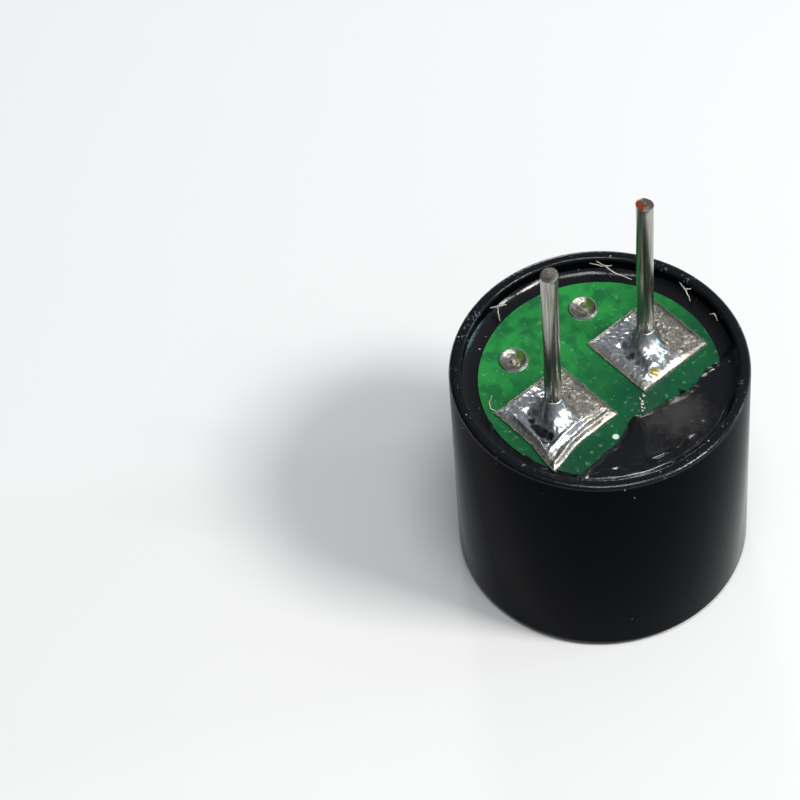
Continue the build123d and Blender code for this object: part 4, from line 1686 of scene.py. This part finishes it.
MINUS_BEADS = (
    Bead((-1.4, -1.1), (1.5, -1.14), 0.08, 0.08),
    Bead((-1.5, -1.34), (1.5, -1.3), 0.07, -0.06),
    Bead((-1.6, -1.52), (1.6, -1.5), 0.09, 0.09),
    Bead((-0.85, 0.8), (-1.1, -0.85), 0.2, -0.22),
    Bead((-1.38, 0.9), (-1.45, -0.9), 0.1, 0.08),
)
PLUS_BEADS = (
    Bead((-0.95, 0.7), (-1.0, -0.7), 0.18, -0.16),
    Bead((-0.5, -0.9), (-1.2, -1.35), 0.24, 0.1),
    Bead((0.7, -0.05), (0.8, 0.35), 0.1, -0.1),
    Bead((0.2, -0.9), (-0.5, -1.3), 0.12, -0.07),
)
FIBRES = (
    ((3.63, 4.06, 10.93), (3.75, 3.6, 10.85), (3.85, 3.3, 10.7), (4.28, 2.64, 10.42)),
    ((3.4, 4.2, 10.85), (3.72, 3.72, 10.8), (3.98, 3.5, 10.85)),
    ((-0.99, 5.36, 10.75), (-0.7, 5.2, 10.72), (-0.39, 5.05, 10.7)),
    ((-0.72, 5.2, 10.72), (-0.9, 5.0, 10.6), (-1.0, 4.78, 10.4)),
    ((5.36, 1.0, 10.8), (5.3, 0.6, 10.75), (5.16, 0.18, 10.5)),
    ((5.3, 0.62, 10.76), (5.42, 0.4, 10.85)),
    ((-3.73, 2.27, 10.33), (-4.05, 2.08, 10.34), (-4.22, 1.82, 10.34), (-4.12, 1.55, 10.33)),
    ((5.2, -1.35, 10.6), (5.3, -1.1, 10.72), (5.22, -0.9, 10.6)),
)
DROPS = (
    (0.62, -1.86, 0.09, 0.06), (0.42, -1.88, 0.06, 0.05), (0.38, -2.02, 0.07, 0.06),
    (0.28, -2.12, 0.09, 0.07), (0.16, -2.24, 0.06, 0.06), (0.22, -2.34, 0.05, 0.05),
    (0.06, -2.38, 0.07, 0.06), (0.5, -2.2, 0.04, 0.04), (-0.04, -2.28, 0.035, 0.03),
    (-0.62, -2.1, 0.03, 0.03),
)


def build_housing(places: Places) -> None:
    """Builds the can, the board in its mouth and the epoxy that holds it.

    Args:
        places: The shared sizes.
    """
    can = Can(places)
    can.build_shell(MouldedAbs(rim_z=places.rim_z).make())
    can.build_mark(PadPrint().make())
    side = BrokenSide()
    Board(places, side).build(SolderMask(board_top=places.board_top).make())
    Potting(places, side).build(CastEpoxy().make())


def build_pins(places: Places, solder: bpy.types.Material) -> None:
    """Builds both pins and the solder on their pads.

    Args:
        places: The shared sizes.
        solder: The solder on the pads.
    """
    SolderJoint("minus", places, -1, 11.0, MINUS_BEADS, 0.08, (-0.24, -0.34), layer=0.1).build(solder)
    SolderJoint("plus", places, 1, 23.0, PLUS_BEADS, flow=(-0.55, -0.83)).build(solder)
    wire = TinnedWire(tip_z=places.tip_z).make()
    Pin("minus", places, -1, 3.0).build(wire)
    Pin("plus", places, 1, 8.0).build(wire)


def build_lead_holes(places: Places) -> None:
    """Builds the plated holes of the inner leads, each with its solder and an olive patch that is partly
    flux and partly a painted reflection of the green board.

    Args:
        places: The shared sizes.
    """
    # Olive patch right of each hole: partly flux, partly a painted reflection of the green board.
    flux_and_board_reflection = tuple(
        StainAndReflection(sign * places.lead_x + 0.34, places.lead_y + 0.02, 0.2, "#4F7A22") for sign in (-1, 1)
    )
    collars = HandSolder(
        "tinned_hole_rims", "#E6ECE0", frost_from=3.0, frost_to=4.0, border=0.0, stains_and_reflections=flux_and_board_reflection,
    ).make()
    drops = HandSolder("tin_in_lead_holes", frost_from=-9.0, frost_to=-8.0, stains_and_reflections=flux_and_board_reflection).make()
    for name, sign in (("plus", 1), ("minus", -1)):
        joint = LeadJoint(name, places, sign, 5.0 + sign)
        joint.build_collar(collars)
        joint.build_drop(drops)


def main() -> None:
    """Builds the buzzer piece by piece and sets up the studio."""
    logging.basicConfig(level=logging.INFO, format="%(message)s")
    places = Places.from_frame()
    solder = HandSolder().make()
    build_housing(places)
    build_pins(places, solder)
    build_lead_holes(places)
    Lint(FIBRES).build(PlainFinish("lint_fibre", "#D9D6CD", "#BDB6A8", 0.7).make())
    Splash(places, DROPS).build(solder)
    HiddenPieces().dress()
    Studio(places).build()


if __name__ == "__main__":
    main()
